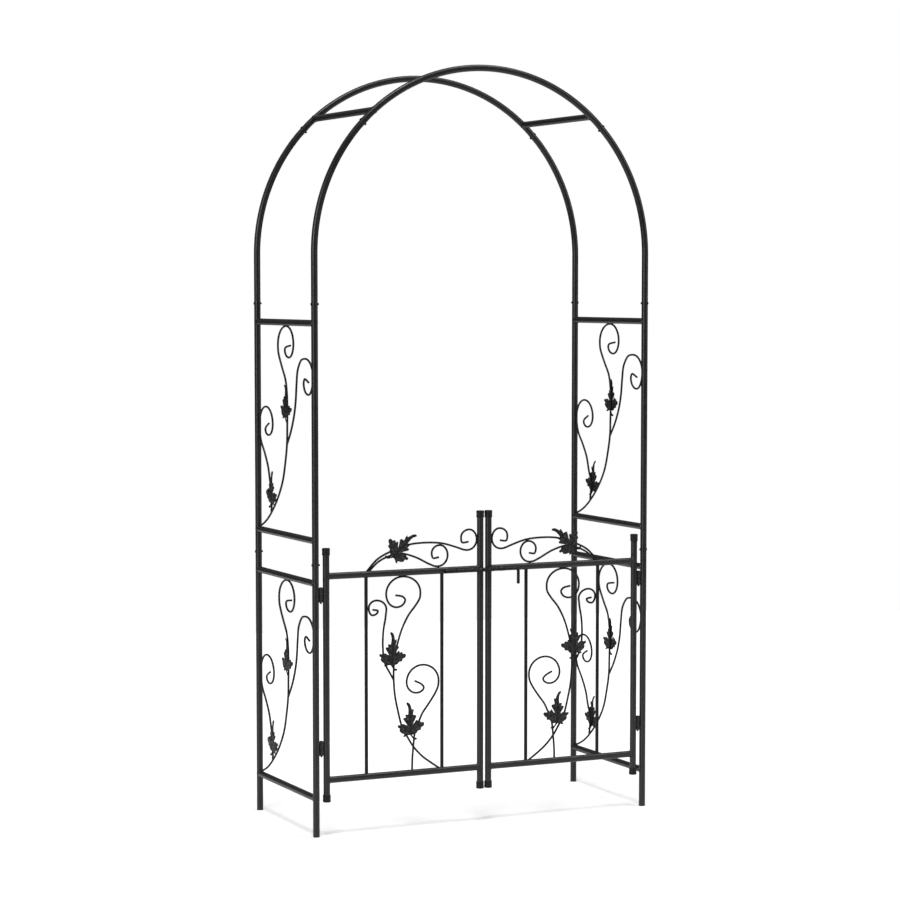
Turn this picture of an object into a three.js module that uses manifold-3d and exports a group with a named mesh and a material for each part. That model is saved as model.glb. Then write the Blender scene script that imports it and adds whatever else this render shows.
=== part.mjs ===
// Garden arch with a two-leaf gate, in black steel tube and wire.
// Lengths are in millimetres and angles in degrees.
// X runs across the opening, -Y is the gate side, +Z is up, and the feet stand at Z = 0.
import * as THREE from "three";
import { mergeVertices } from "three/addons/utils/BufferGeometryUtils.js";
import Module from "manifold-3d";

const wasm = await Module();
wasm.setup();

// Tube, wire and clearance
const tubeRadius = 9.5;
const tubeWall = 1.2;
const wireRadius = 2.5;
const fitGap = 0.3;
const cutOverrun = 5;

// Arch: two tube frames, front and rear, from the feet up over the crown
const archWidth = 1061;
const archDepth = 437;
const springHeight = 1652.6;
const lowerSeamAboveTopRail = 53;
const upperSeamHeight = 1530;
const crownSeamAngle = 46.2;
const spigotLength = 40;
const neckLength = 4;

// Crossbars that join the front frame to the rear one
const footBarHeight = 110;
const waistBarBelowTopRail = 20;
const sillBarAboveSeam = 47.5;
const shoulderBarBelowSeam = 73.5;
const crownBarAngle = 49.2;

// Screws that pin each spigot in its socket
const screwRadius = 2;
const screwHeadRadius = 4;
const screwHeadHeight = 2;
const screwNutRadius = 3.5;
const screwNutHeight = 3.2;

// Gate leaves
const hingeGap = 13.3;
const meetingGap = 7.4;
const gateBottom = 98;
const bottomRailAboveEnd = 63;
const topRailHeight = 743;
const hingeStileAboveTopRail = 80;
const meetingStileAboveTopRail = 169;
const balusterRadius = 5;
const balusterWall = 1;
const balusterShare = 0.254;
const crestRise = 103.7;

// Plastic caps on the ends of the gate's stiles
const capRadius = 11.5;
const capLength = 20;
const capTop = 2.5;
const capLip = 1;

// Hinges: a knuckle on the leaf turns between two on the post, round a loose pin
const knuckleRadius = 5.9;
const hingePinRadius = 3;
const hingePinHeadRadius = 5;
const hingePinHeadHeight = 2.2;
const hingePinTipLength = 4.5;
const hingeHeight = 40.5;
const hingePostShare = 0.29;
const hingeWebThickness = 5;
const upperHingeBelowTopRail = 53;
const lowerHingeAboveBottomRail = 91.4;

// Sliding bolt in front of the top rails, drawn back clear of the left leaf
const boltRadius = 4.5;
const boltSleeveWall = 1.2;
const boltBelowRail = 1.8;
const boltTravel = 35;
const boltHandleFromMeeting = 103;
const boltHandleDrop = 46;
const boltBendRadius = 10;
const boltSideGap = 2;
const outerGuideLength = 15;
const keeperLength = 130;

// Stamped leaves welded on the wires
const leafSpan = 86;
const smallLeafSpan = 75;
const leafThickness = 1.8;
const leafSeat = 1;

// Facets
const tubeSides = 12;
const wireSides = 5;
const smallSides = 8;
const screwSides = 6;
const archSteps = 8;
const crownSteps = 14;
const boltSteps = 12;
const curlSteps = 3;

const quarterTurn = Math.PI / 2;
const radians = THREE.MathUtils.degToRad;
const archRadius = archWidth / 2;
const halfDepth = archDepth / 2;
const boreRadius = tubeRadius - tubeWall;
const spigotRadius = boreRadius - fitGap;
const bottomRailHeight = gateBottom + bottomRailAboveEnd;
const hingeStileTop = topRailHeight + hingeStileAboveTopRail;
const meetingStileTop = topRailHeight + meetingStileAboveTopRail;
const lowerSeamHeight = topRailHeight + lowerSeamAboveTopRail;
const waistBarHeight = topRailHeight - waistBarBelowTopRail;
const sillBarHeight = lowerSeamHeight + sillBarAboveSeam;
const shoulderBarHeight = upperSeamHeight - shoulderBarBelowSeam;
const upperHingeHeight = topRailHeight - upperHingeBelowTopRail;
const lowerHingeHeight = bottomRailHeight + lowerHingeAboveBottomRail;
const pinFromPost = (2 * tubeRadius + hingeGap) / 2;
const leafLength = archRadius - pinFromPost - meetingGap / 2 - tubeRadius;
const boltSleeveRadius = boltRadius + fitGap + boltSleeveWall;
const boltOffset = tubeRadius + fitGap + boltSleeveRadius;
const gatePlaneToFront = boltOffset + boltSleeveRadius;
const tubeToWire = tubeRadius + fitGap + wireRadius;

// A leaf's outline round its weld, in shares of its width, with the tip curling to the left
const leafOutlineShares = [
  [-0.11, 0.79], [-0.06, 0.82], [0.01, 0.77], [0.05, 0.68], [0.07, 0.59], [0.09, 0.54],
  [0.14, 0.57], [0.14, 0.49], [0.11, 0.41], [0.11, 0.36], [0.17, 0.35], [0.22, 0.3],
  [0.19, 0.24], [0.06, 0.06], [0.12, 0.09], [0.19, 0.17], [0.24, 0.16], [0.25, 0.1],
  [0.3, 0.13], [0.34, 0.12], [0.37, 0.06], [0.45, 0.06], [0.49, 0.01], [0.47, -0.05],
  [0.42, -0.09], [0.36, -0.11], [0.34, -0.19], [0.23, -0.2], [0.17, -0.27], [0.08, -0.3],
  [0.04, -0.3], [0.09, -0.42], [0.15, -0.43], [0.16, -0.49], [0.06, -0.5], [-0.05, -0.3],
  [-0.19, -0.3], [-0.26, -0.33], [-0.33, -0.31], [-0.28, -0.25], [-0.38, -0.18],
  [-0.44, -0.11], [-0.4, -0.04], [-0.5, 0.04], [-0.47, 0.09], [-0.39, 0.06], [-0.29, 0.12],
  [-0.15, 0.05], [-0.27, 0.27], [-0.23, 0.32], [-0.17, 0.31], [-0.18, 0.4], [-0.14, 0.42],
  [-0.08, 0.4], [-0.05, 0.55], [-0.06, 0.68],
];

// Wires in shares of their panel's width and height. Each runs up its stem, round its curl's
// outermost places in turn, and along a short tail. A flat curl starts at its top or bottom.
const gateWireShares = [
  {
    stem: [
      [1.01, 0.01], [0.87, 0.047], [0.76, 0.079], [0.627, 0.134], [0.535, 0.19], [0.478, 0.226],
      [0.45, 0.258], [0.411, 0.318], [0.368, 0.398], [0.35, 0.477], [0.352, 0.551],
      [0.37, 0.607], [0.402, 0.66], [0.468, 0.737], [0.565, 0.807], [0.667, 0.855],
    ],
    flat: false,
    curl: [[0.73, 0.918], [0.479, 1.002], [0.245, 0.916], [0.394, 0.848], [0.515, 0.885]],
    tail: [[0.48, 0.9], [0.376, 0.909]],
  },
  {
    stem: [
      [0.609, 0], [0.613, 0.068], [0.627, 0.134], [0.647, 0.2], [0.672, 0.237], [0.712, 0.265],
      [0.759, 0.302], [0.851, 0.349], [0.945, 0.402],
    ],
    flat: false,
    curl: [[0.99, 0.463], [0.757, 0.548], [0.533, 0.463], [0.676, 0.407], [0.779, 0.434]],
    tail: [[0.75, 0.448], [0.647, 0.469]],
  },
  {
    stem: [
      [0.349, 0.481], [0.3, 0.514], [0.246, 0.551], [0.21, 0.588], [0.2, 0.63], [0.196, 0.676],
      [0.208, 0.741], [0.24, 0.8],
    ],
    flat: false,
    curl: [[0.248, 0.841], [0.107, 0.888], [0, 0.851], [0.057, 0.814], [0.129, 0.836]],
    tail: [[0.053, 0.842]],
  },
];
const crestWireShares = [
  {
    stem: [
      [0, -0.07], [0.1, 0.275], [0.209, 0.463], [0.286, 0.545], [0.389, 0.65], [0.543, 0.682],
      [0.686, 0.643], [0.806, 0.527],
    ],
    flat: true,
    curl: [[0.92, 0.42], [1.004, 0.711], [0.934, 1], [0.86, 0.788]],
    tail: [[0.868, 0.643], [0.929, 0.653]],
  },
  {
    stem: [
      [0.02, -0.07], [0.114, 0.215], [0.229, 0.375], [0.306, 0.415], [0.351, 0.39], [0.449, 0.28],
      [0.566, 0.08],
    ],
    flat: true,
    curl: [[0.649, 0], [0.737, 0.306], [0.663, 0.595], [0.591, 0.373]],
    tail: [[0.603, 0.238], [0.657, 0.257]],
  },
];
const sideWireShares = [
  {
    stem: [
      [1.03, 0.013], [0.962, 0.024], [0.861, 0.055], [0.76, 0.103], [0.653, 0.171],
      [0.557, 0.261], [0.506, 0.357], [0.477, 0.44], [0.471, 0.524], [0.467, 0.607],
      [0.474, 0.683], [0.5, 0.747], [0.566, 0.808], [0.619, 0.86],
    ],
    flat: false,
    curl: [[0.639, 0.913], [0.482, 1], [0.351, 0.92], [0.435, 0.854], [0.51, 0.89]],
    tail: [[0.5, 0.9], [0.405, 0.912]],
  },
  {
    stem: [
      [0.483, 0.43], [0.401, 0.504], [0.343, 0.58], [0.313, 0.648], [0.297, 0.725], [0.275, 0.795],
      [0.215, 0.843],
    ],
    flat: true,
    curl: [[0.134, 0.853], [0, 0.768], [0.083, 0.684], [0.167, 0.738]],
    tail: [[0.15, 0.757], [0.075, 0.742]],
  },
  {
    stem: [
      [0.78, 0.095], [0.766, 0.184], [0.803, 0.247], [0.838, 0.315], [0.9, 0.379],
      [0.973, 0.44],
    ],
    flat: false,
    curl: [[1, 0.518], [0.872, 0.608], [0.745, 0.525], [0.826, 0.47], [0.887, 0.498]],
    tail: [[0.875, 0.508], [0.817, 0.528]],
  },
];

// Leaves at shares of the same panels, each turned from upright and with its tip to one side
const gateLeaves = [
  { placeShares: [0.331, 0.602], turn: 0, tipSide: 1 },
  { placeShares: [0.591, 0.241], turn: 6, tipSide: 1 },
];
const crestLeaves = [{ placeShares: [0.282, 0.515], turn: -50, tipSide: -1 }];
const sideLeaves = [
  { placeShares: [0.475, 0.607], turn: 0, tipSide: -1 },
  { placeShares: [0.762, 0.184], turn: 8, tipSide: 1, span: smallLeafSpan },
];

// Finishes
const powderCoat = new THREE.MeshStandardMaterial({
  color: "#2e2e2e",
  roughness: 0.5,
  metalness: 0.2,
});
const leafCoat = new THREE.MeshStandardMaterial({
  color: "#262626",
  roughness: 0.55,
  metalness: 0.2,
});
const capPlastic = new THREE.MeshStandardMaterial({
  color: "#151515",
  roughness: 0.6,
  metalness: 0,
});
const boltSteel = new THREE.MeshStandardMaterial({
  color: "#2a2a2a",
  roughness: 0.45,
  metalness: 0.3,
});

// A closed geometry as a solid that can be joined and cut
function solid(geometry) {
  const bare = geometry.clone();
  bare.deleteAttribute("normal");
  bare.deleteAttribute("uv");
  const merged = mergeVertices(bare);
  return new wasm.Manifold(
    new wasm.Mesh({
      numProp: 3,
      vertProperties: merged.attributes.position.array,
      triVerts: new Uint32Array(merged.index.array),
    }),
  );
}

function geometryOf(body) {
  const mesh = body.getMesh();
  const geometry = new THREE.BufferGeometry();
  geometry.setAttribute("position", new THREE.BufferAttribute(mesh.vertProperties, 3));
  geometry.setIndex(new THREE.BufferAttribute(mesh.triVerts, 1));
  const faceted = geometry.toNonIndexed();
  faceted.computeVertexNormals();
  return faceted;
}

function joined(first, ...others) {
  return others.reduce((body, other) => body.add(other), first);
}

function cut(body, ...tools) {
  return tools.reduce((rest, tool) => rest.subtract(tool), body);
}

// The same piece on the other side of the YZ plane, with its faces still outwards
function mirrored(geometry) {
  const copy = geometry.clone();
  copy.scale(-1, 1, 1);
  const place = copy.attributes.position;
  for (let corner = 0; corner < place.count; corner += 3) {
    const second = new THREE.Vector3().fromBufferAttribute(place, corner + 1);
    const third = new THREE.Vector3().fromBufferAttribute(place, corner + 2);
    place.setXYZ(corner + 1, third.x, third.y, third.z);
    place.setXYZ(corner + 2, second.x, second.y, second.z);
  }
  copy.computeVertexNormals();
  return copy;
}

function sweep(path, steps, radius, bore, sides) {
  const section = new THREE.Shape().absarc(0, 0, radius, 0, 2 * Math.PI, false);
  if (bore > 0) {
    section.holes.push(new THREE.Path().absarc(0, 0, bore, 0, 2 * Math.PI, true));
  }
  const form = new THREE.ExtrudeGeometry(section, {
    steps,
    extrudePath: path,
    bevelEnabled: false,
    curveSegments: sides / 2,
  });
  return solid(form);
}

// A bar has its own solid, and an envelope that keeps the clearance for what meets it
function bar(path, steps, radius, wall, sides) {
  return {
    body: sweep(path, steps, radius, radius - wall, sides),
    envelope: sweep(path, steps, radius + fitGap, 0, sides),
  };
}

function straightBar(from, to, radius, wall, sides) {
  return bar(new THREE.LineCurve3(from, to), 1, radius, wall, sides);
}

function uprightTube(x, low, high) {
  const foot = new THREE.Vector3(x, 0, low);
  return straightBar(foot, new THREE.Vector3(x, 0, high), tubeRadius, tubeWall, tubeSides);
}

function levelTube(height, left, right) {
  const start = new THREE.Vector3(left, 0, height);
  return straightBar(start, new THREE.Vector3(right, 0, height), tubeRadius, tubeWall, tubeSides);
}

function disc(radius, height, sides) {
  return new THREE.CylinderGeometry(radius, radius, height, sides);
}

// The frame's centreline runs from the right foot up the post and over the arch
function frameAngle(length) {
  return Math.max(0, length - springHeight) / archRadius;
}

function framePlace(length) {
  const angle = frameAngle(length);
  const height = Math.min(length, springHeight) + archRadius * Math.sin(angle);
  return new THREE.Vector3(archRadius * Math.cos(angle), 0, height);
}

function lengthAtAngle(angle) {
  return springHeight + archRadius * radians(angle);
}

const crownSeamLength = lengthAtAngle(crownSeamAngle);
const crownEndLength = lengthAtAngle(180 - crownSeamAngle);

// A turned outline of radii and lengths, bent along the frame's centreline
function bentAlongFrame(profile) {
  const outline = profile.map(([radius, length]) => new THREE.Vector2(radius, length));
  const form = new THREE.LatheGeometry([...outline, outline[0]], tubeSides);
  const corners = form.attributes.position;
  for (let corner = 0; corner < corners.count; corner += 1) {
    const length = corners.getY(corner);
    const angle = frameAngle(length);
    const outward = corners.getX(corner);
    const place = framePlace(length);
    place.x += outward * Math.cos(angle);
    place.z += outward * Math.sin(angle);
    corners.setXYZ(corner, place.x, -corners.getZ(corner), place.z);
  }
  return solid(form);
}

// Stations along a stretch, from its start to its end. A curved stretch that ends in a socket
// keeps the socket straight, as the spigot inside it is.
function stations({ start, end, steps, socket = false }) {
  const bendEnd = socket ? end - spigotLength : end;
  const share = (bendEnd - start) / steps;
  const places = Array.from({ length: steps + 1 }, (_, step) => start + share * step);
  return socket ? [...places, end] : places;
}

// A spigot at a tube's end, as the outline's radii and lengths round its tip. Direction is -1 at
// the tube's start and +1 at its end.
function spigotOutline(seam, direction) {
  const tip = seam + direction * spigotLength;
  const neck = seam - direction * neckLength;
  const bore = spigotRadius - tubeWall;
  return [[spigotRadius, seam], [spigotRadius, tip], [bore, tip], [bore, neck]];
}

// A frame tube over a stretch, with a spigot at either end if it has one
function frameTube(stretch, startSpigot, endSpigot) {
  const { start, end } = stretch;
  const places = stations(stretch);
  const outer = places.map((length) => [tubeRadius, length]);
  const ownStart = startSpigot ? start + neckLength : start;
  const ownEnd = endSpigot ? end - neckLength : end;
  const inner = [ownEnd, ...places.slice(1, -1).reverse(), ownStart];
  const outline = [...outer];
  if (endSpigot) {
    outline.push(...spigotOutline(end, 1));
  }
  outline.push(...inner.map((length) => [boreRadius, length]));
  if (startSpigot) {
    outline.push(...spigotOutline(start, -1).reverse());
  }
  return bentAlongFrame(outline);
}

// The space that a frame tube takes, with the clearance round it
function frameEnvelope(stretch) {
  const radius = tubeRadius + fitGap;
  const outer = stations(stretch).map((length) => [radius, length]);
  return bentAlongFrame([[0, stretch.start], ...outer, [0, stretch.end]]);
}

// A screw crosses the middle of a spigot, head outside and nut inside. The length given is that
// of the middle, and the spigot is straight.
const halfSpigot = spigotLength / 2;

function placeAcross(geometry, length) {
  geometry.rotateZ(-quarterTurn);
  geometry.rotateY(-frameAngle(length));
  const place = framePlace(length - halfSpigot).lerp(framePlace(length + halfSpigot), 1 / 2);
  geometry.translate(place.x, place.y, place.z);
  return solid(geometry);
}

function screw(length) {
  const seat = tubeRadius + fitGap;
  const shank = disc(screwRadius, 2 * (seat + screwHeadHeight / 2), screwSides);
  const headEdge = screwHeadRadius - screwHeadHeight / 2;
  const head = new THREE.CylinderGeometry(headEdge, screwHeadRadius, screwHeadHeight, screwSides);
  head.translate(0, seat + screwHeadHeight / 2, 0);
  const nut = disc(screwNutRadius, screwNutHeight, screwSides);
  nut.translate(0, -seat - screwNutHeight / 2, 0);
  return joined(...[shank, head, nut].map((piece) => placeAcross(piece, length)));
}

function screwHole(length) {
  return placeAcross(disc(screwRadius + fitGap, 2 * (tubeRadius + cutOverrun), screwSides), length);
}

// Hinge knuckles and webs, round the pin at X = 0, between Z heights
function knuckle(low, high, reach) {
  const height = high - low;
  const ring = disc(knuckleRadius, height, smallSides);
  const web = new THREE.BoxGeometry(Math.abs(reach), height, hingeWebThickness);
  web.translate(reach / 2, 0, 0);
  const pieces = [ring, web].map((piece) => {
    piece.rotateX(quarterTurn);
    piece.translate(0, 0, (low + high) / 2);
    return solid(piece);
  });
  return joined(...pieces);
}

function pinBore(low, high) {
  const bore = disc(hingePinRadius + fitGap, high - low + 2 * cutOverrun, smallSides);
  bore.rotateX(quarterTurn);
  bore.translate(0, 0, (low + high) / 2);
  return solid(bore);
}

const hingeHeights = [lowerHingeHeight, upperHingeHeight];

function hingeSpans(height) {
  const low = height - hingeHeight / 2;
  const high = height + hingeHeight / 2;
  const postPart = hingePostShare * hingeHeight;
  return { low, high, leafLow: low + postPart, leafHigh: high - postPart };
}

const webReach = pinFromPost - tubeRadius + tubeWall / 2;

function postKnuckles(height) {
  const { low, high, leafLow, leafHigh } = hingeSpans(height);
  const pair = [knuckle(low, leafLow, webReach), knuckle(leafHigh, high, webReach)];
  return pair.map((piece) => cut(piece, pinBore(low, high)));
}

function leafKnuckle(height) {
  const { leafLow, leafHigh } = hingeSpans(height);
  const piece = knuckle(leafLow + fitGap, leafHigh - fitGap, webReach);
  return cut(piece, pinBore(leafLow, leafHigh));
}

function hingePin(height) {
  const { low, high } = hingeSpans(height);
  const headLow = high + fitGap;
  const headHigh = headLow + hingePinHeadHeight;
  const tip = low - hingePinTipLength;
  const profile = [
    [0, tip],
    [hingePinRadius / 2, tip],
    [hingePinRadius, tip + hingePinRadius / 2],
    [hingePinRadius, headLow],
    [hingePinHeadRadius, headLow],
    [hingePinHeadRadius, headHigh - hingePinHeadHeight / 2],
    [hingePinRadius, headHigh],
    [0, headHigh],
  ];
  const points = profile.map(([radius, z]) => new THREE.Vector2(radius, z));
  return geometryOf(solid(new THREE.LatheGeometry(points, smallSides).rotateX(quarterTurn)));
}

// A cap is a cup pushed over a stile's end. Up is 1 at the top of a stile and -1 at its bottom.
function stileCap(up) {
  const inner = tubeRadius + fitGap;
  const profile = [
    [0, 0],
    [capRadius - capLip, 0],
    [capRadius, -capLip],
    [capRadius, -capLength],
    [inner, -capLength],
    [inner, -capTop],
    [0, -capTop],
  ];
  const points = profile.map(([radius, z]) => new THREE.Vector2(radius, z)).reverse();
  const cap = new THREE.LatheGeometry(points, tubeSides);
  cap.rotateX(up * quarterTurn);
  return geometryOf(solid(cap));
}

// Wires and leaves stand in the XZ plane and face -Y
class WireLine extends THREE.CatmullRomCurve3 {
  getUtoTmapping(share) {
    return share;
  }
}

function quarterEllipse(from, to, flat) {
  const places = [];
  for (let step = 1; step <= curlSteps; step += 1) {
    const angle = (step / curlSteps) * quarterTurn;
    const eased = 1 - Math.cos(angle);
    const x = flat ? Math.sin(angle) : eased;
    const z = flat ? eased : Math.sin(angle);
    places.push([from[0] + (to[0] - from[0]) * x, from[1] + (to[1] - from[1]) * z]);
  }
  return places;
}

function wirePlaces({ stem, flat, curl, tail }) {
  const places = [...stem, curl[0]];
  let startsFlat = flat;
  for (let turn = 1; turn < curl.length; turn += 1) {
    places.push(...quarterEllipse(curl[turn - 1], curl[turn], startsFlat));
    startsFlat = !startsFlat;
  }
  places.push(...tail);
  return places;
}

function wire(shares, panel) {
  const points = wirePlaces(shares).map((place) => panelPoint(panel, place));
  const line = new WireLine(points, false, "centripetal");
  return sweep(line, points.length - 1, wireRadius, 0, wireSides);
}

function panelPoint(panel, [across, up]) {
  const x = panel.left + across * (panel.right - panel.left);
  return new THREE.Vector3(x, 0, panel.low + up * (panel.high - panel.low));
}

function stampedLeaf({ placeShares, turn, tipSide, span = leafSpan }, panel) {
  const outline = leafOutlineShares.map(
    ([across, up]) => new THREE.Vector2(tipSide * across * span, up * span),
  );
  const plate = new THREE.ExtrudeGeometry(new THREE.Shape(outline), {
    depth: leafThickness,
    steps: 1,
    bevelEnabled: false,
  });
  plate.rotateX(quarterTurn);
  plate.rotateY(-radians(turn));
  const place = panelPoint(panel, placeShares);
  plate.translate(place.x, leafSeat - wireRadius, place.z);
  return solid(plate);
}

function scroll(wires, leaves, panel, neighbours) {
  const pieces = [
    ...wires.map((shares) => wire(shares, panel)),
    ...leaves.map((leaf) => stampedLeaf(leaf, panel)),
  ];
  return cut(joined(...pieces), ...neighbours.map((neighbour) => neighbour.envelope));
}

// Arch, with its origin midway between the feet
const arch = new THREE.Group();

function addTo(group, name, geometry, material) {
  const mesh = new THREE.Mesh(geometry, material);
  mesh.name = name;
  group.add(mesh);
  return mesh;
}

const copied = (geometry) => geometry.clone();
const sides = [
  { name: "right", outward: 1, place: copied },
  { name: "left", outward: -1, place: mirrored },
];
const frames = [
  { name: "front", y: -halfDepth },
  { name: "rear", y: halfDepth },
];

const lowerStretch = { start: 0, end: lowerSeamHeight, steps: 1 };
const upperStretch = { start: lowerSeamHeight + fitGap, end: upperSeamHeight, steps: 1 };
const archStretch = {
  start: upperSeamHeight + fitGap,
  end: crownSeamLength,
  steps: archSteps,
  socket: true,
};
const crownStretch = {
  start: crownSeamLength + fitGap,
  end: crownEndLength - fitGap,
  steps: crownSteps,
};

const lowerPost = cut(
  frameTube(lowerStretch, false, false),
  screwHole(lowerSeamHeight - halfSpigot),
);
const upperPost = joined(
  cut(frameTube(upperStretch, true, false), screwHole(upperSeamHeight - halfSpigot)),
  screw(lowerSeamHeight - halfSpigot),
);
const archSide = joined(
  cut(frameTube(archStretch, true, false), screwHole(crownSeamLength - halfSpigot)),
  screw(upperSeamHeight - halfSpigot),
);
const archCrown = joined(
  frameTube(crownStretch, true, true),
  screw(crownSeamLength - halfSpigot),
  screw(crownEndLength + halfSpigot),
);

// The hinge's knuckles are welded on the front post, towards the opening
function hingedPost() {
  const pinX = archRadius - pinFromPost;
  const knuckles = hingeHeights.flatMap(postKnuckles).map((piece) => {
    return solid(geometryOf(piece).translate(pinX, 0, 0));
  });
  return joined(lowerPost, ...knuckles);
}

const framePieces = { front: hingedPost(), rear: lowerPost };

for (const frame of frames) {
  const lowerGeometry = geometryOf(framePieces[frame.name]);
  const pieces = [
    ["lower_post", lowerGeometry],
    ["upper_post", geometryOf(upperPost)],
    ["arch_side", geometryOf(archSide)],
  ];
  for (const side of sides) {
    for (const [piece, geometry] of pieces) {
      const name = `${side.name}_${frame.name}_${piece}`;
      addTo(arch, name, side.place(geometry), powderCoat).position.y = frame.y;
    }
  }
  addTo(arch, `${frame.name}_arch_crown`, geometryOf(archCrown), powderCoat).position.y = frame.y;
}

// Crossbars run front to rear and are coped to the round tubes that they meet
function alongDepth(body) {
  return solid(geometryOf(body).rotateZ(quarterTurn));
}

function crossbar(height) {
  const tube = levelTube(height, -halfDepth, halfDepth);
  const posts = [-halfDepth, halfDepth].map((x) => {
    return uprightTube(x, height - tubeRadius - cutOverrun, height + tubeRadius + cutOverrun);
  });
  const coped = cut(tube.body, ...posts.map((post) => post.envelope));
  return geometryOf(alongDepth(coped));
}

const crossbarHeights = {
  foot: footBarHeight,
  waist: waistBarHeight,
  sill: sillBarHeight,
  shoulder: shoulderBarHeight,
};
for (const [level, height] of Object.entries(crossbarHeights)) {
  for (const side of sides) {
    const mesh = addTo(arch, `${side.name}_${level}_crossbar`, crossbar(height), powderCoat);
    mesh.position.x = side.outward * framePlace(height).x;
  }
}

function crownCrossbar() {
  const place = framePlace(lengthAtAngle(crownBarAngle));
  const tube = solid(
    geometryOf(alongDepth(levelTube(place.z, -halfDepth, halfDepth).body)).translate(place.x, 0, 0),
  );
  const crowns = frames.map((frame) => {
    return solid(geometryOf(frameEnvelope(crownStretch)).translate(0, frame.y, 0));
  });
  return geometryOf(cut(tube, ...crowns));
}

for (const side of sides) {
  addTo(arch, `${side.name}_crown_crossbar`, side.place(crownCrossbar()), powderCoat);
}

// Side panels, from the front post to the rear one, with their leaves on the outside
function sideScroll(low, high) {
  const panel = {
    left: tubeToWire,
    right: archDepth - tubeToWire,
    low,
    high: high - tubeToWire,
  };
  const neighbours = [
    uprightTube(0, low - cutOverrun, high + cutOverrun),
    uprightTube(archDepth, low - cutOverrun, high + cutOverrun),
    levelTube(low, 0, archDepth),
    levelTube(high, 0, archDepth),
  ];
  const body = scroll(sideWireShares, sideLeaves, panel, neighbours);
  return geometryOf(body).rotateZ(quarterTurn).translate(archRadius, -halfDepth, 0);
}

const sidePanels = {
  lower: sideScroll(footBarHeight, waistBarHeight),
  upper: sideScroll(sillBarHeight, shoulderBarHeight),
};
for (const [level, geometry] of Object.entries(sidePanels)) {
  for (const side of sides) {
    addTo(arch, `${side.name}_${level}_side_scroll`, side.place(geometry), leafCoat);
  }
}

// Gate leaf, from its hinge pin at X = 0 to its meeting stile at +X
const hingeStileX = pinFromPost;
const meetingStileX = leafLength;
const stileSpan = meetingStileX - hingeStileX;
const outerBalusterX = hingeStileX + balusterShare * stileSpan;
const innerBalusterX = meetingStileX - balusterShare * stileSpan;
const tubeEndInCap = capTop + fitGap;

const hingeStile = uprightTube(
  hingeStileX, gateBottom + tubeEndInCap, hingeStileTop - tubeEndInCap,
);
const meetingStile = uprightTube(
  meetingStileX, gateBottom + tubeEndInCap, meetingStileTop - tubeEndInCap,
);
const bottomRail = levelTube(bottomRailHeight, hingeStileX, meetingStileX);
const topRail = levelTube(topRailHeight, hingeStileX, meetingStileX);

function baluster(x) {
  const foot = new THREE.Vector3(x, 0, bottomRailHeight);
  const head = new THREE.Vector3(x, 0, topRailHeight);
  return straightBar(foot, head, balusterRadius, balusterWall, smallSides);
}

const outerBaluster = baluster(outerBalusterX);
const innerBaluster = baluster(innerBalusterX);
const stiles = [hingeStile.envelope, meetingStile.envelope];
const rails = [bottomRail.envelope, topRail.envelope];

function leafKnuckles() {
  return hingeHeights.map((height) => leafKnuckle(height));
}

function gateScroll() {
  const reach = balusterRadius + fitGap + wireRadius;
  const panel = {
    left: outerBalusterX + reach,
    right: innerBalusterX - reach,
    low: bottomRailHeight,
    high: topRailHeight - tubeToWire,
  };
  const neighbours = [bottomRail, topRail, outerBaluster, innerBaluster];
  return scroll(gateWireShares, gateLeaves, panel, neighbours);
}

function crestScroll() {
  const low = topRailHeight + tubeToWire;
  const panel = {
    left: outerBalusterX,
    right: meetingStileX - tubeToWire,
    low,
    high: low + crestRise,
  };
  return scroll(crestWireShares, crestLeaves, panel, [topRail, meetingStile]);
}

const leafPieces = [
  ["hinge_stile", joined(hingeStile.body, ...leafKnuckles()), powderCoat],
  ["meeting_stile", meetingStile.body, powderCoat],
  ["bottom_rail", cut(bottomRail.body, ...stiles), powderCoat],
  ["top_rail", cut(topRail.body, ...stiles), powderCoat],
  ["outer_baluster", cut(outerBaluster.body, ...rails), powderCoat],
  ["inner_baluster", cut(innerBaluster.body, ...rails), powderCoat],
  ["gate_scroll", gateScroll(), leafCoat],
  ["crest_scroll", crestScroll(), leafCoat],
];
const capPlaces = [
  ["hinge_stile_bottom_cap", hingeStileX, gateBottom, -1],
  ["hinge_stile_top_cap", hingeStileX, hingeStileTop, 1],
  ["meeting_stile_bottom_cap", meetingStileX, gateBottom, -1],
  ["meeting_stile_top_cap", meetingStileX, meetingStileTop, 1],
];

// The leaf is drawn as the left one is seen, so the right one is its mirror image
const leafPlace = { left: copied, right: mirrored };
const leaves = {};
for (const side of sides) {
  const group = new THREE.Group();
  group.position.set(side.outward * (archRadius - pinFromPost), -halfDepth, 0);
  for (const [piece, body, material] of leafPieces) {
    addTo(group, `${side.name}_${piece}`, leafPlace[side.name](geometryOf(body)), material);
  }
  for (const [piece, x, z, up] of capPlaces) {
    const cap = addTo(group, `${side.name}_${piece}`, stileCap(up), capPlastic);
    cap.position.set(-side.outward * x, 0, z);
  }
  for (const height of hingeHeights) {
    const level = height === upperHingeHeight ? "upper" : "lower";
    const pin = addTo(arch, `${side.name}_${level}_hinge_pin`, hingePin(height), boltSteel);
    pin.position.copy(group.position);
  }
  arch.add(group);
  leaves[side.name] = group;
}

// Bolt: a bent rod in two guides on the right leaf, and its keeper on the left one
function boltSleeve(start, end) {
  const wall = boltSleeveRadius - boltRadius - fitGap;
  const from = new THREE.Vector3(start, 0, 0);
  const tube = straightBar(from, new THREE.Vector3(end, 0, 0), boltSleeveRadius, wall, smallSides);
  return geometryOf(tube.body);
}

const leafTip = meetingStileX + tubeRadius;
const handleX = leafTip + meetingGap / 2 - boltHandleFromMeeting;
const handleBendX = handleX + boltBendRadius;
const innerGuideStart = leafTip - 2 * tubeRadius;
const outerGuideStart = handleBendX + boltTravel + boltSideGap;
const boltTipX = leafTip + boltSideGap;

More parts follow.
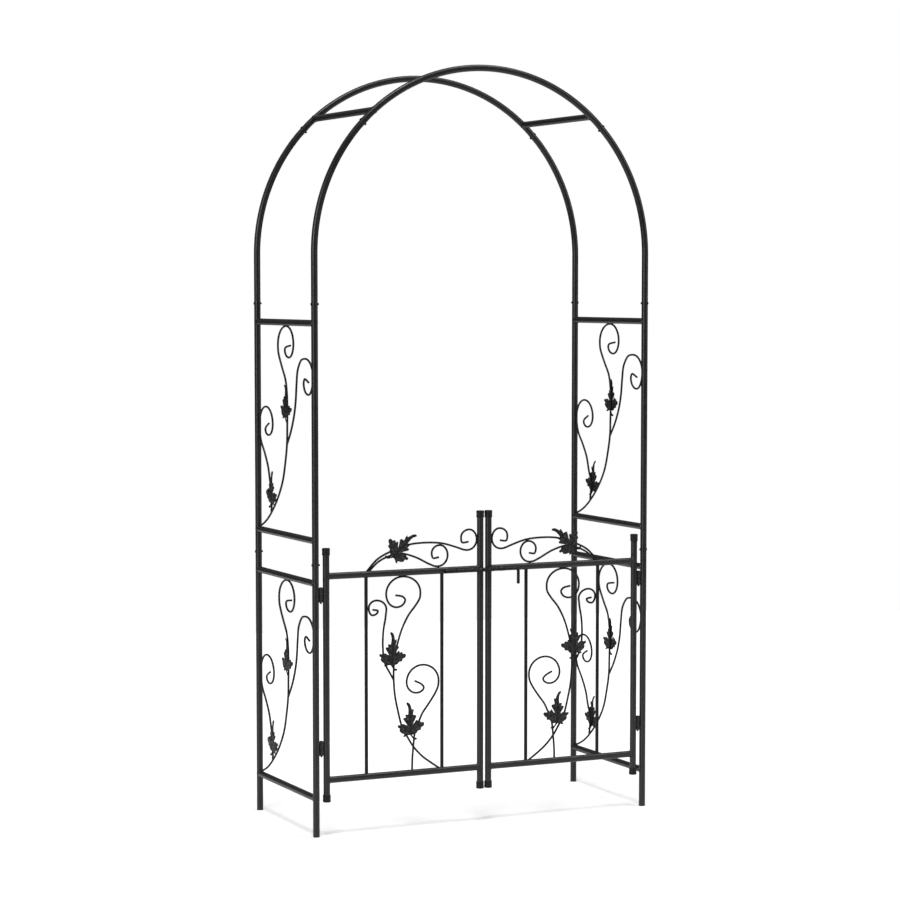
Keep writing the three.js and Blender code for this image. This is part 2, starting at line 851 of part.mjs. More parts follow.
function boltRod() {
  const bend = new THREE.Vector3(-handleX, 0, 0);
  const path = new THREE.CurvePath();
  const tip = new THREE.Vector3(-boltTipX, 0, 0);
  const bendStart = new THREE.Vector3(-handleBendX, 0, 0);
  const bendEnd = new THREE.Vector3(-handleX, 0, -boltBendRadius);
  path.add(new THREE.LineCurve3(tip, bendStart));
  path.add(new THREE.QuadraticBezierCurve3(bendStart, bend, bendEnd));
  path.add(new THREE.LineCurve3(bendEnd, new THREE.Vector3(-handleX, 0, -boltHandleDrop)));
  return geometryOf(sweep(path, boltSteps, boltRadius, 0, smallSides));
}

const fittings = [
  [leaves.left, "bolt_keeper", boltSleeve(leafTip - keeperLength, leafTip + boltSideGap / 2)],
  [leaves.right, "inner_bolt_guide", boltSleeve(-leafTip, -innerGuideStart)],
  [leaves.right, "outer_bolt_guide", boltSleeve(
    -outerGuideStart - outerGuideLength, -outerGuideStart,
  )],
  [leaves.right, "sliding_bolt", boltRod()],
];
const boltHeight = topRailHeight - boltBelowRail;
for (const [leaf, name, geometry] of fittings) {
  addTo(leaf, name, geometry, boltSteel).position.set(0, -boltOffset, boltHeight);
}

// The origin is the middle of the footprint, bolt included
arch.position.y = (gatePlaneToFront - tubeRadius) / 2;
const model = new THREE.Group();
model.add(arch);

export default model;
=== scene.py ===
"""Garden arch with a two-leaf gate, in powder-coated steel tube and wire.

Every piece is made at its place, in metres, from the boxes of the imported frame.
"""
import math
from collections import namedtuple

import bmesh
import bpy
from bpy.props import EnumProperty, FloatProperty, FloatVectorProperty, PointerProperty
from mathutils import Matrix, Vector
from mathutils.geometry import delaunay_2d_cdt


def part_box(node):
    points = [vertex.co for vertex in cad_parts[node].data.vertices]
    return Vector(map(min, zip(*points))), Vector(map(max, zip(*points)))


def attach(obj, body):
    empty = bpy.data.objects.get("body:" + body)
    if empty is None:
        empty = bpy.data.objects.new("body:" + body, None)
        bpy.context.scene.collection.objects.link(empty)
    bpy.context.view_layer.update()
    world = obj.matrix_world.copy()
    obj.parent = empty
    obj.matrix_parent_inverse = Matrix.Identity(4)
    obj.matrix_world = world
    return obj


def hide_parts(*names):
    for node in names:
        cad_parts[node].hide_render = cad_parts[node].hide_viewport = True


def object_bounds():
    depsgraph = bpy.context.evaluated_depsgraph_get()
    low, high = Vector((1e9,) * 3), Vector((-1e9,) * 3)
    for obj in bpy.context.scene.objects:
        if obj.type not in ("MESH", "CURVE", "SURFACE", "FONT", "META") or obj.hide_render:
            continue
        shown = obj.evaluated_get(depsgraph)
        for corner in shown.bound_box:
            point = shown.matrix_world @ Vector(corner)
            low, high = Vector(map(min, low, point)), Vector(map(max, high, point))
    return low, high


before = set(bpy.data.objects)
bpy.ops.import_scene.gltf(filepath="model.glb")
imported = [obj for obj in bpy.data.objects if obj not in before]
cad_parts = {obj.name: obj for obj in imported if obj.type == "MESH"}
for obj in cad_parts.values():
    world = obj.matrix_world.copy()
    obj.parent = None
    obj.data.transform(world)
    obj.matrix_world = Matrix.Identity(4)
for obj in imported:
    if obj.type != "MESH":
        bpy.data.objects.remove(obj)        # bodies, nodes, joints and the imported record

bl_info = {
    "name": "Garden Arch with Gate",
    "version": (1, 0, 0),
    "blender": (4, 5, 0),
    "location": "View3D > Sidebar > Garden Arch",
    "description": "Makes the tubes, scrolls, leaves, gate and fittings of a steel garden arch",
    "category": "Add Mesh",
}

cad_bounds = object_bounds()

MM = 0.001
UP = Vector((0, 0, 1))
ACROSS = Vector((1, 0, 0))
BACK = Vector((0, 1, 0))
SIDES = {"left": -1, "right": 1}


# Places and sizes that the frame gives

def low(node):
    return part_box(node)[0]


def high(node):
    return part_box(node)[1]


def middle(node):
    return (low(node) + high(node)) / 2


def size(node):
    return high(node) - low(node)


TUBE_RADIUS = size("left_meeting_stile").x / 2
HALF_WIDTH = middle("right_foot_crossbar").x
FRONT_Y = middle("left_meeting_stile").y
REAR_Y = middle("left_rear_lower_post").y
FRAME_Y = {"front": FRONT_Y, "rear": REAR_Y}
SPRING_HEIGHT = high("front_arch_crown").z - TUBE_RADIUS - HALF_WIDTH
LOWER_SEAM = high("left_rear_lower_post").z
UPPER_SEAM = high("left_rear_upper_post").z
CROWN_SEAM_ANGLE = math.asin(
    (high("right_rear_arch_side").z - SPRING_HEIGHT) / (HALF_WIDTH + TUBE_RADIUS)
)
CROWN_SEAM = SPRING_HEIGHT + HALF_WIDTH * CROWN_SEAM_ANGLE
CROWN_END = SPRING_HEIGHT + HALF_WIDTH * (math.pi - CROWN_SEAM_ANGLE)
BOTTOM_RAIL = middle("left_bottom_rail").z
TOP_RAIL = middle("left_top_rail").z
STRAIGHT_LEVELS = ("foot", "waist", "sill", "shoulder")
HINGE_LEVELS = ("lower", "upper")


# Sizes and colours that a user would change

def linear(hex_colour):
    """A colour given as sRGB hex, as the linear values that Blender keeps."""
    values = [int(hex_colour[place:place + 2], 16) / 255 for place in (1, 3, 5)]
    return [v / 12.92 if v <= 0.04045 else ((v + 0.055) / 1.055) ** 2.4 for v in values]


def length_property(name, description, millimetres):
    return FloatProperty(
        name=name, description=description, default=millimetres * MM, min=0, subtype="DISTANCE",
        unit="LENGTH", precision=5,
    )


def colour_property(name, description, hex_colour):
    return FloatVectorProperty(
        name=name, description=description, default=linear(hex_colour), min=0, max=1,
        subtype="COLOR",
    )


class GardenArchSizes(bpy.types.PropertyGroup):
    """Sizes that the frame's boxes don't give."""

    clearance: length_property("Clearance", "Gap between pieces that seat on each other", 0.3)
    tube_wall: length_property("Tube wall", "Wall of the frame's and the gate's tubes", 1.2)
    baluster_wall: length_property("Baluster wall", "Wall of the thin balusters", 1)
    spigot_neck: length_property("Spigot neck", "Length of a spigot inside its own tube", 4)
    end_round: length_property("End round", "Rounding of sawn and stamped edges", 0.35)
    wire_radius: length_property("Wire radius", "Radius of the scrolls' wire with its coat", 3)
    bead_radius: length_property("Bead radius", "Radius of the weld beads on the tubes", 1.5)
    fine_bead_radius: length_property("Fine bead", "Radius of beads on small pieces", 0.9)
    bead_ripple: length_property("Bead ripple", "Spacing of the ripples in a weld bead", 1.7)
    spot_radius: length_property("Spot radius", "Radius of a weld spot on the wires", 2.5)
    leaf_span: length_property("Leaf span", "Width of a stamped leaf", 86)
    leaf_thickness: length_property("Leaf thickness", "Sheet that the leaves are stamped from", 1.5)
    leaf_seat: length_property("Leaf seat", "How deep a leaf sits on its wire", 1)
    leaf_dome: length_property("Leaf dome", "How far a leaf's middle bulges", 3.2)
    leaf_curl: length_property("Leaf curl", "How far a leaf's tip curls forward", 4.5)
    vein_depth: length_property("Vein depth", "Depth of the veins pressed into a leaf", 1.1)
    knuckle_radius: length_property("Knuckle radius", "Radius of the hinge knuckles", 5.9)
    web_thickness: length_property("Web thickness", "Plate that joins a knuckle to its tube", 5)
    pin_radius: length_property("Pin radius", "Radius of the hinge pins", 3)
    pin_head: length_property("Pin head", "Height of a hinge pin's head", 2.2)
    pin_tip: length_property("Pin tip", "Length of a hinge pin below its hinge", 4.5)
    pin_edge: length_property("Pin edge", "Rounding of a hinge pin's edges", 0.2)
    screw_head_radius: length_property("Screw head radius", "Radius of the screws' pan heads", 4)
    screw_head_height: length_property("Screw head height", "Height of the screws' heads", 1.3)
    nut_radius: length_property("Nut radius", "Radius of the nuts over their corners", 3.5)
    nut_height: length_property("Nut height", "Height of the screws' nuts", 2.8)
    bolt_bend: length_property("Bolt bend", "Radius of the bend in the bolt's rod", 10)
    sleeve_wall: length_property("Guide wall", "Wall of the bolt's guides and keeper", 1.2)
    sleeve_edge: length_property("Guide edge", "Rounding of the guides' sawn edges", 0.25)
    cap_round: length_property("Cap round", "Rounding of the caps' outer edge", 1.8)
    cap_top: length_property("Cap top", "Thickness of a cap's closed end", 2.5)
    cap_edge: length_property("Cap edge", "Rounding of a cap's smaller edges", 0.3)


class GardenArchColours(bpy.types.PropertyGroup):
    """Colours of the finishes, each as its darker and its lighter tone."""

    tube_dark: colour_property("Tube, dark", "Powder coat where it lies thin", "#141414")
    tube_light: colour_property("Tube, light", "Powder coat where it lies thick", "#1f1f1f")
    wire_dark: colour_property("Wire, dark", "Powder coat on the wires, thin", "#080808")
    wire_light: colour_property("Wire, light", "Powder coat on the wires, thick", "#101010")
    # The leaves' dark tone, which also serves as painted shade in their veins and along their rims
    leaf_dark_and_painted_shade: colour_property("Leaf, dark", "Powder coat in the leaves' veins", "#050505")
    leaf_light: colour_property("Leaf, light", "Powder coat on the leaves' lobes", "#3c3c3c")
    oxide_dark: colour_property("Black oxide, dark", "Blackened steel, oiled", "#1c1c1d")
    oxide_light: colour_property("Black oxide, light", "Blackened steel, rubbed", "#3a3a3b")
    plastic_dark: colour_property("Plastic, dark", "Moulded polyethylene, shaded", "#050505")
    plastic_light: colour_property("Plastic, light", "Moulded polyethylene, plain", "#0b0b0b")


# Node trees

# Kinds of node that are used often
MATH = "ShaderNodeMath"
VECTOR_MATH = "ShaderNodeVectorMath"
NOISE = "ShaderNodeTexNoise"
NAMED_ATTRIBUTE = "GeometryNodeInputNamedAttribute"

END_RING = 0.4999  # a ring whose factor lies further than this from the middle is a bar's end


def add_node(tree, kind, inputs=(), **settings):
    """Adds a node with its settings. An input takes a socket, a node's first output or a
    value."""
    node = tree.nodes.new(kind)
    for name, value in settings.items():
        setattr(node, name, value)
    for key, value in dict(inputs).items():
        if isinstance(value, bpy.types.Node):
            value = next(socket for socket in value.outputs if socket.enabled)
        if isinstance(value, bpy.types.NodeSocket):
            tree.links.new(value, node.inputs[key])
        else:
            node.inputs[key].default_value = value
    return node


def new_tree(name, inputs):
    """A geometry tree with a geometry in and out, and named inputs of the kinds given."""
    tree = bpy.data.node_groups.new(name, "GeometryNodeTree")
    tree.is_modifier = True
    interface = tree.interface
    interface.new_socket("Geometry", in_out="OUTPUT", socket_type="NodeSocketGeometry")
    interface.new_socket("Geometry", in_out="INPUT", socket_type="NodeSocketGeometry")
    for label, kind in inputs.items():
        interface.new_socket(label, in_out="INPUT", socket_type=kind)
    return tree, add_node(tree, "NodeGroupInput").outputs


def end_tree(tree, geometry, material):
    """Realizes a tree's geometry and gives it its material."""
    real = add_node(tree, "GeometryNodeRealizeInstances", {"Geometry": geometry})
    coated = add_node(tree, "GeometryNodeSetMaterial", {"Geometry": real, "Material": material})
    add_node(tree, "NodeGroupOutput", {"Geometry": coated})


def round_bar_tree():
    """A round bar along each path, thinned by the path's share, coped at its ends to round
    neighbours, and with the ripples of a weld bead if it has any."""
    tree, given = new_tree("round_bar_on_path", {
        "Radius": "NodeSocketFloat",
        "Round Sides": "NodeSocketInt",
        "Closed Ends": "NodeSocketBool",
        "Cope Radius": "NodeSocketFloat",
        "Neighbour Axis": "NodeSocketVector",
        "Ripple Share": "NodeSocketFloat",
        "Ripple Spacing": "NodeSocketFloat",
        "Material": "NodeSocketMaterial",
    })
    curve = add_node(tree, "GeometryNodeMeshToCurve", {"Mesh": given["Geometry"]})
    along = add_node(tree, "GeometryNodeSplineParameter").outputs
    kept = add_node(tree, "GeometryNodeCaptureAttribute", {"Geometry": curve})
    for label, kind, field in (
        ("Factor", "FLOAT", along["Factor"]),
        ("Tangent", "VECTOR", add_node(tree, "GeometryNodeInputTangent").outputs[0]),
        ("Centre", "VECTOR", add_node(tree, "GeometryNodeInputPosition").outputs[0]),
    ):
        kept.capture_items.new(kind, label)
        tree.links.new(field, kept.inputs[label])
    on_path = kept.outputs

    # The section swells and shrinks along a bead
    turns = add_node(tree, MATH, {0: along["Length"], 1: given["Ripple Spacing"]},
                     operation="DIVIDE")
    angle = add_node(tree, MATH, {0: turns, 1: 2 * math.pi}, operation="MULTIPLY")
    wave = add_node(tree, MATH, {0: angle}, operation="SINE")
    swell = add_node(tree, MATH, {0: wave, 1: given["Ripple Share"], 2: 1.0},
                     operation="MULTIPLY_ADD")
    share = add_node(tree, NAMED_ATTRIBUTE, {"Name": "share"})
    scale = add_node(tree, MATH, {0: swell, 1: share}, operation="MULTIPLY")
    section = add_node(tree, "GeometryNodeCurvePrimitiveCircle",
                       {"Resolution": given["Round Sides"], "Radius": given["Radius"]})
    bar = add_node(tree, "GeometryNodeCurveToMesh", {
        "Curve": on_path["Geometry"],
        "Profile Curve": section,
        "Scale": scale,
        "Fill Caps": given["Closed Ends"],
    })

    # An end ring reaches on towards its neighbour's axis, the further the more it lies aside
    place = add_node(tree, "GeometryNodeInputPosition")
    offset = add_node(tree, VECTOR_MATH, {0: place, 1: on_path["Centre"]}, operation="SUBTRACT")
    sideways = add_node(tree, VECTOR_MATH,
                        {0: on_path["Tangent"], 1: given["Neighbour Axis"]},
                        operation="CROSS_PRODUCT")
    aside = add_node(tree, VECTOR_MATH, {0: offset, 1: sideways},
                     operation="DOT_PRODUCT").outputs["Value"]
    aside_squared = add_node(tree, MATH, {0: aside, 1: aside}, operation="MULTIPLY")
    radius_squared = add_node(tree, MATH,
                              {0: given["Cope Radius"], 1: given["Cope Radius"]},
                              operation="MULTIPLY")
    left = add_node(tree, MATH, {0: radius_squared, 1: aside_squared}, operation="SUBTRACT")
    inside = add_node(tree, MATH, {0: left, 1: 0.0}, operation="MAXIMUM")
    surface = add_node(tree, MATH, {0: inside}, operation="SQRT")
    reach = add_node(tree, MATH, {0: given["Cope Radius"], 1: surface}, operation="SUBTRACT")
    from_middle = add_node(tree, MATH, {0: on_path["Factor"], 1: 0.5}, operation="SUBTRACT")
    way = add_node(tree, MATH, {0: from_middle}, operation="SIGN")
    step = add_node(tree, MATH, {0: reach, 1: way}, operation="MULTIPLY")
    shift = add_node(tree, VECTOR_MATH, {0: on_path["Tangent"], "Scale": step}, operation="SCALE")
    from_middle_size = add_node(tree, MATH, {0: from_middle}, operation="ABSOLUTE")
    at_end = add_node(tree, MATH, {0: from_middle_size, 1: END_RING}, operation="GREATER_THAN")
    coped = add_node(tree, "GeometryNodeSetPosition",
                     {"Geometry": bar, "Selection": at_end, "Offset": shift})
    end_tree(tree, coped, given["Material"])
    return tree


def copies_tree():
    """A copy of an object at each point, along the point's aim, at the point's own size."""
    tree, given = new_tree("copies_on_points", {
        "Copy": "NodeSocketObject",
        "Size Spread": "NodeSocketFloat",
        "Seed": "NodeSocketInt",
        "Material": "NodeSocketMaterial",
    })
    aim = add_node(tree, NAMED_ATTRIBUTE, {"Name": "aim"}, data_type="FLOAT_VECTOR")
    aimed = add_node(tree, "FunctionNodeAlignRotationToVector", {"Vector": aim}, axis="Z")
    spin = add_node(tree, "FunctionNodeRandomValue",
                    {"Min": 0.0, "Max": 2 * math.pi, "Seed": given["Seed"]}, data_type="FLOAT")
    spun = add_node(tree, "FunctionNodeAxisAngleToRotation", {"Axis": UP, "Angle": spin})
    turned = add_node(tree, "FunctionNodeRotateRotation", {0: aimed, 1: spun},
                      rotation_space="LOCAL")
    least = add_node(tree, MATH, {0: 1.0, 1: given["Size Spread"]}, operation="SUBTRACT")
    most = add_node(tree, MATH, {0: 1.0, 1: given["Size Spread"]}, operation="ADD")
    spread = add_node(tree, "FunctionNodeRandomValue",
                      {"Min": least, "Max": most, "Seed": given["Seed"]}, data_type="FLOAT")
    own_size = add_node(tree, NAMED_ATTRIBUTE, {"Name": "size"})
    scale = add_node(tree, MATH, {0: own_size, 1: spread}, operation="MULTIPLY")
    shape = add_node(tree, "GeometryNodeObjectInfo", {"Object": given["Copy"]})
    copies = add_node(tree, "GeometryNodeInstanceOnPoints", {
        "Points": given["Geometry"],
        "Instance": shape.outputs["Geometry"],
        "Rotation": turned,
        "Scale": scale,
    })
    end_tree(tree, copies, given["Material"])
    return tree


def tree_named(name, maker):
    """The tree of that name, made the first time that a piece asks for it."""
    return bpy.data.node_groups.get(name) or maker()


# Making pieces

ROUNDED_FROM = math.radians(35)  # edges that turn more than this are rounded
SHARP_FROM = math.radians(38)    # edges that turn more than this stay sharp in the shading
HELD_REACH = 4                   # how far inside a bar's end its shading is held, in roundings

# A bar's centreline, with each point's share of the bar's radius
Path = namedtuple("Path", "points shares closed", defaults=(None, False))
# A copy's place, the way that its Z points and its share of the template's size
Spot = namedtuple("Spot", "place aim size")


def new_object(name, mesh):
    thing = bpy.data.objects.new(name, mesh)
    bpy.context.scene.collection.objects.link(thing)
    return thing


def grow(thing, tree, inputs):
    """Puts a geometry tree on an object, with its inputs set by their identifiers."""
    modifier = thing.modifiers.new(tree.name, "NODES")
    modifier.node_group = tree
    for item in tree.interface.items_tree:
        if item.item_type == "SOCKET" and item.in_out == "INPUT" and item.name in inputs:
            modifier[item.identifier] = inputs[item.name]


def give_wall(thing, wall, offset=-1.0):
    modifier = thing.modifiers.new("wall", "SOLIDIFY")
    modifier.thickness = wall
    modifier.offset = offset
    modifier.use_even_offset = True


def round_edges(thing, width, segments=2):
    modifier = thing.modifiers.new("edges", "BEVEL")
    modifier.width = width
    modifier.segments = segments
    modifier.limit_method = "ANGLE"
    modifier.angle_limit = ROUNDED_FROM


def settle(thing):
    """Turns what an object's modifiers give into its plain mesh, smooth up to sharp edges."""
    depsgraph = bpy.context.evaluated_depsgraph_get()
    plain = bpy.data.meshes.new_from_object(thing.evaluated_get(depsgraph))
    thing.modifiers.clear()
    bare = thing.data
    thing.data = plain
    bpy.data.meshes.remove(bare)
    plain.name = thing.name
    plain.shade_smooth()
    plain.set_sharp_from_angle(angle=SHARP_FROM)
    return thing


def hand_over(piece, body, slot, *nodes):
    """Parents a finished piece to the body that it rides on and hides the nodes that it stands for.
    Its slot is not used.
    """
    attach(piece, body)
    if nodes:
        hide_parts(*nodes)


def path_object(name, paths):
    """An object whose edges are the paths, each point with its share of the bar's radius."""
    places, edges, shares = [], [], []
    for path in paths:
        first, count = len(places), len(path.points)
        places.extend(path.points)
        shares.extend(path.shares or [1.0] * count)
        edges.extend((first + step, first + step + 1) for step in range(count - 1))
        if path.closed:
            edges.append((first + count - 1, first))
    mesh = bpy.data.meshes.new(name)
    mesh.from_pydata(places, edges, [])
    mesh.attributes.new("share", "FLOAT", "POINT").data.foreach_set("value", shares)
    return new_object(name, mesh)


def held_ends(path, reach):
    """A path with a point just inside each end, so that a rounded end doesn't tilt the shading
    of the straight bar behind it."""
    points, shares = path.points, path.shares or [1.0] * len(path.points)
    after = points[0] + (points[1] - points[0]).normalized() * reach
    before = points[-1] + (points[-2] - points[-1]).normalized() * reach
    return Path(
        [points[0], after, *points[1:-1], before, points[-1]],
        [shares[0], shares[0], *shares[1:-1], shares[-1], shares[-1]],
    )


def round_bar(name, paths, radius, material, sides=32, wall=0.0, edge=0.0, **inputs):
    """Bars of one radius along their paths, as one piece: hollow if they have a wall."""
    if edge:
        paths = [held_ends(path, HELD_REACH * edge) for path in paths]
    thing = path_object(name, paths)
    given = {
        "Radius": radius,
        "Round Sides": sides,
        "Closed Ends": wall == 0,
        "Ripple Spacing": 1.0,
        "Material": material,
    }
    given.update({label.replace("_", " ").title(): value for label, value in inputs.items()})
    grow(thing, tree_named("round_bar_on_path", round_bar_tree), given)
    if wall:
        give_wall(thing, wall)
    if edge:
        round_edges(thing, edge)
    return settle(thing)


def copies(name, template, spots, material, spread=0.0, seed=1):
    """Copies of a template at spots, as one piece."""
    mesh = bpy.data.meshes.new(name)
    mesh.from_pydata([spot.place for spot in spots], [], [])
    aims = [value for spot in spots for value in spot.aim]
    mesh.attributes.new("aim", "FLOAT_VECTOR", "POINT").data.foreach_set("vector", aims)
    sizes = [spot.size for spot in spots]
    mesh.attributes.new("size", "FLOAT", "POINT").data.foreach_set("value", sizes)
    thing = new_object(name, mesh)
    grow(thing, tree_named("copies_on_points", copies_tree), {
        "Copy": template,
        "Size Spread": spread,
        "Seed": seed,
        "Material": material,
    })
    return settle(thing)


def remove(thing):
    mesh = thing.data
    bpy.data.objects.remove(thing)
    bpy.data.meshes.remove(mesh)


def shape_object(name, shape, material):
    """An object from a finished bmesh, with its faces turned to one side."""
    bmesh.ops.recalc_face_normals(shape, faces=shape.faces)
    mesh = bpy.data.meshes.new(name)
    shape.to_mesh(mesh)
    shape.free()
    mesh.materials.append(material)
    return new_object(name, mesh)


def solid_object(name, shape, material, edge=0.0):
    """A piece from a finished bmesh of closed bodies."""
    thing = shape_object(name, shape, material)
    if edge:
        round_edges(thing, edge)
    return settle(thing)


def join_rings(shape, ring, following):
    """Bridges two rings of vertices, either of which may be a single point."""
    count = max(len(ring), len(following))
    for step in range(count):
        corners = [
            ring[step % len(ring)],
            ring[(step + 1) % len(ring)],
            following[(step + 1) % len(following)],
            following[step % len(following)],
        ]
        shape.faces.new(list(dict.fromkeys(corners)))


def turn_profile(shape, profile, centre, sides=40):
    """Adds a closed turned body round an upright axis: radii and heights above the centre."""
    rings = []
    for radius, height in profile:
        if radius == 0:
            rings.append([shape.verts.new(centre + UP * height)])
            continue
        ring = []
        for step in range(sides):
            angle = 2 * math.pi * step / sides
            around = Vector((math.cos(angle), math.sin(angle), 0))
            ring.append(shape.verts.new(centre + around * radius + UP * height))
        rings.append(ring)
    if profile[0][0] > 0:
        rings.append(rings[0])
    for ring, following in zip(rings, rings[1:]):
        join_rings(shape, ring, following)


def add_block(shape, low_corner, high_corner):
    """Adds a closed block between two corners."""
    extent = high_corner - low_corner
    place = Matrix.Translation((low_corner + high_corner) / 2)
    bmesh.ops.create_cube(shape, size=1, matrix=place @ Matrix.Diagonal((*extent, 1)))


# Finishes

TUBE_COAT = "satin_powder_coat_on_tube"
WIRE_COAT = "satin_powder_coat_on_wire"
LEAF_COAT = "satin_powder_coat_on_stamped_leaf"
BLACK_OXIDE = "oiled_black_oxide_steel"
CAP_PLASTIC = "moulded_black_polyethylene"

# Noise seldom leaves this span, and a coat's roughness changes by so much over it
NOISE_SPAN = {"From Min": 0.3, "From Max": 0.7}
GLOSS_CHANGE = 0.06
PEBBLE_DEPTH = 0.03 * MM


def new_material(name):
    material = bpy.data.materials.new(name)
    material.use_nodes = True
    tree = material.node_tree
    tree.nodes.clear()
    return material, tree


def mottled(tree, place, patch, dark, light, contrast=0.22):
    """A colour that wanders between two tones in patches of about that size in metres."""
    noise = add_node(tree, NOISE, {
        "Vector": place, "Scale": 1 / patch, "Detail": 3.0, "Roughness": 0.6,
    })
    share = add_node(tree, "ShaderNodeMapRange", {
        "Value": noise, "From Min": 0.5 - contrast, "From Max": 0.5 + contrast,
    })
    return add_node(tree, "ShaderNodeMix", {
        "Factor": share, "A": [*dark, 1.0], "B": [*light, 1.0],
    }, data_type="RGBA").outputs["Result"]


def uneven(tree, place, grain, depth):
    """A pattern of about that grain in metres, and the relief of that depth that it gives."""
    noise = add_node(tree, NOISE, {"Vector": place, "Scale": 1 / grain, "Detail": 2.0})
    return noise, add_node(tree, "ShaderNodeBump", {
        "Height": noise, "Strength": 1.0, "Distance": depth,
    })


def coat(tree, place, dark, light, patch, grain, roughness, specular=0.35):
    """A baked or moulded skin: tone in patches, a pebbled surface and uneven gloss."""
    _, relief = uneven(tree, place, grain, PEBBLE_DEPTH)
    gloss = add_node(tree, NOISE, {"Vector": place, "Scale": 1 / (3 * patch), "Detail": 2.0})
    dullness = add_node(tree, "ShaderNodeMapRange", {
        "Value": gloss, **NOISE_SPAN,
        "To Min": roughness - GLOSS_CHANGE, "To Max": roughness + GLOSS_CHANGE,
    })
    return {
        "Base Color": mottled(tree, place, patch, dark, light), "Roughness": dullness,
        "Normal": relief, "IOR": 1.5, "Specular IOR Level": specular,
    }


def tube_coat(tree, place, colours):
    # Satin black polyester powder coat on drawn steel tube: an even, soft sheen with long
    # highlights along the tubes. Its orange peel is about 1.5 mm across on the real tubes,
    # and is drawn 12 mm across here so that it shows.
    return coat(
        tree, place, colours.tube_dark, colours.tube_light, patch=22 * MM, grain=12 * MM,
        roughness=0.33,
    )


def wire_coat(tree, place, colours):
    # The same coat on 5 mm wire and on the thin balusters, where it pulls thin: darker and a
    # little duller. Its orange peel is also drawn coarser than it is, at 6 mm.
    return coat(
        tree, place, colours.wire_dark, colours.wire_light, patch=14 * MM, grain=6 * MM,
        roughness=0.4, specular=0.2,
    )


def leaf_coat(tree, place, colours):
    # Powder coat on stamped and lightly hammered sheet leaves: duller in the pressed veins and rim,
    # which are also darkened by painted shade, and thin and shiny on the lobes. The hammer marks
    # are about 8 mm across, and are drawn deeper than they are so that they show.
    tone = mottled(tree, place, 7 * MM, colours.leaf_dark_and_painted_shade, colours.leaf_light, contrast=0.14)
    vein = add_node(tree, "ShaderNodeAttribute", attribute_name="vein").outputs["Fac"]
    # Painted shade: the veins and the rim are darkened towards the dark tone
    tone_with_painted_shade = add_node(tree, "ShaderNodeMix", {
        "Factor": vein, "A": tone, "B": [*colours.leaf_dark_and_painted_shade, 1.0],
    }, data_type="RGBA")
    _, hammered = uneven(tree, place, grain=8 * MM, depth=3 * MM)
    dullness = add_node(tree, "ShaderNodeMapRange", {
        "Value": vein, "To Min": 0.36, "To Max": 0.62,
    })
    return {
        "Base Color": tone_with_painted_shade.outputs["Result"], "Roughness": dullness, "Normal": hammered,
        "IOR": 1.5, "Specular IOR Level": 0.18,
    }


def black_oxide(tree, place, colours):
    # Black-oxide steel of the hinge pins, bolt and screws: a dark conversion layer over bare
    # metal, oiled, with a broad sheen and paler rubbed patches. The marks that drawing leaves
    # along the bolt are about 0.1 mm wide, and are drawn 1.2 mm wide so that they show.
    length, width = 12 * MM, 1.2 * MM
    marks = add_node(tree, "ShaderNodeMapping", {
        "Vector": place, "Scale": (1 / length, 1 / width, 1 / width),
    })
    drawn, relief = uneven(tree, marks, grain=1, depth=PEBBLE_DEPTH)
    dullness = add_node(tree, "ShaderNodeMapRange", {
        "Value": drawn, **NOISE_SPAN, "To Min": 0.38, "To Max": 0.54,
    })
    tone = mottled(tree, place, 7 * MM, colours.oxide_dark, colours.oxide_light)
    return {"Base Color": tone, "Roughness": dullness, "Normal": relief, "Metallic": 1.0}


def cap_plastic(tree, place, colours):
    # Injection-moulded black polyethylene of the stile caps: soft, nearly matt, with the fine
    # spark-eroded texture of its mould. Its grain is about 0.2 mm, and is drawn 1.6 mm so that
    # it shows.
    return coat(
        tree, place, colours.plastic_dark, colours.plastic_light, patch=9 * MM,
        grain=1.6 * MM, roughness=0.55, specular=0.25,
    )


FINISHES = {
    TUBE_COAT: tube_coat,
    WIRE_COAT: wire_coat,
    LEAF_COAT: leaf_coat,
    BLACK_OXIDE: black_oxide,
    CAP_PLASTIC: cap_plastic,
}


def finish(name):
    """The material of that name, made the first time that a piece asks for it."""
    made = bpy.data.materials.get(name)
    if made:
        return made
    material, tree = new_material(name)
    place = add_node(tree, "ShaderNodeTexCoord").outputs["Object"]
    inputs = FINISHES[name](tree, place, bpy.context.scene.garden_arch_colours)
    surface = add_node(tree, "ShaderNodeBsdfPrincipled", inputs)
    add_node(tree, "ShaderNodeOutputMaterial", {"Surface": surface})
    return material


# The arch's tubes, by their length along the centreline from the right foot

def arch_angle(length):
    return max(0.0, length - SPRING_HEIGHT) / HALF_WIDTH


def arch_place(length, y, side=1):
    angle = arch_angle(length)
    rise = min(length, SPRING_HEIGHT) + HALF_WIDTH * math.sin(angle)
    return Vector((side * HALF_WIDTH * math.cos(angle), y, rise))


def arch_line(start, end, y, side, step=12 * MM):
    """Points from start to end, straight up the post and in fine steps round the arch."""
    lengths = [start, SPRING_HEIGHT] if start < SPRING_HEIGHT < end else [start]
    bent = end - lengths[-1]
    count = math.ceil(bent / step) if end > SPRING_HEIGHT else 1
    lengths += [lengths[-1] + bent * (turn + 1) / count for turn in range(count)]
    return [arch_place(length, y, side) for length in lengths]


def spigot_length(sizes):
    return LOWER_SEAM + sizes.clearance - low("left_rear_upper_post").z


def spigot_path(seam, far, y, side, neck, share):
    """A straight spigot from its tip to its neck inside its own tube."""
    root = arch_place(seam, y, side)
    tip = arch_place(far, y, side)
    return Path([tip, root + (root - tip).normalized() * neck], [share, share])


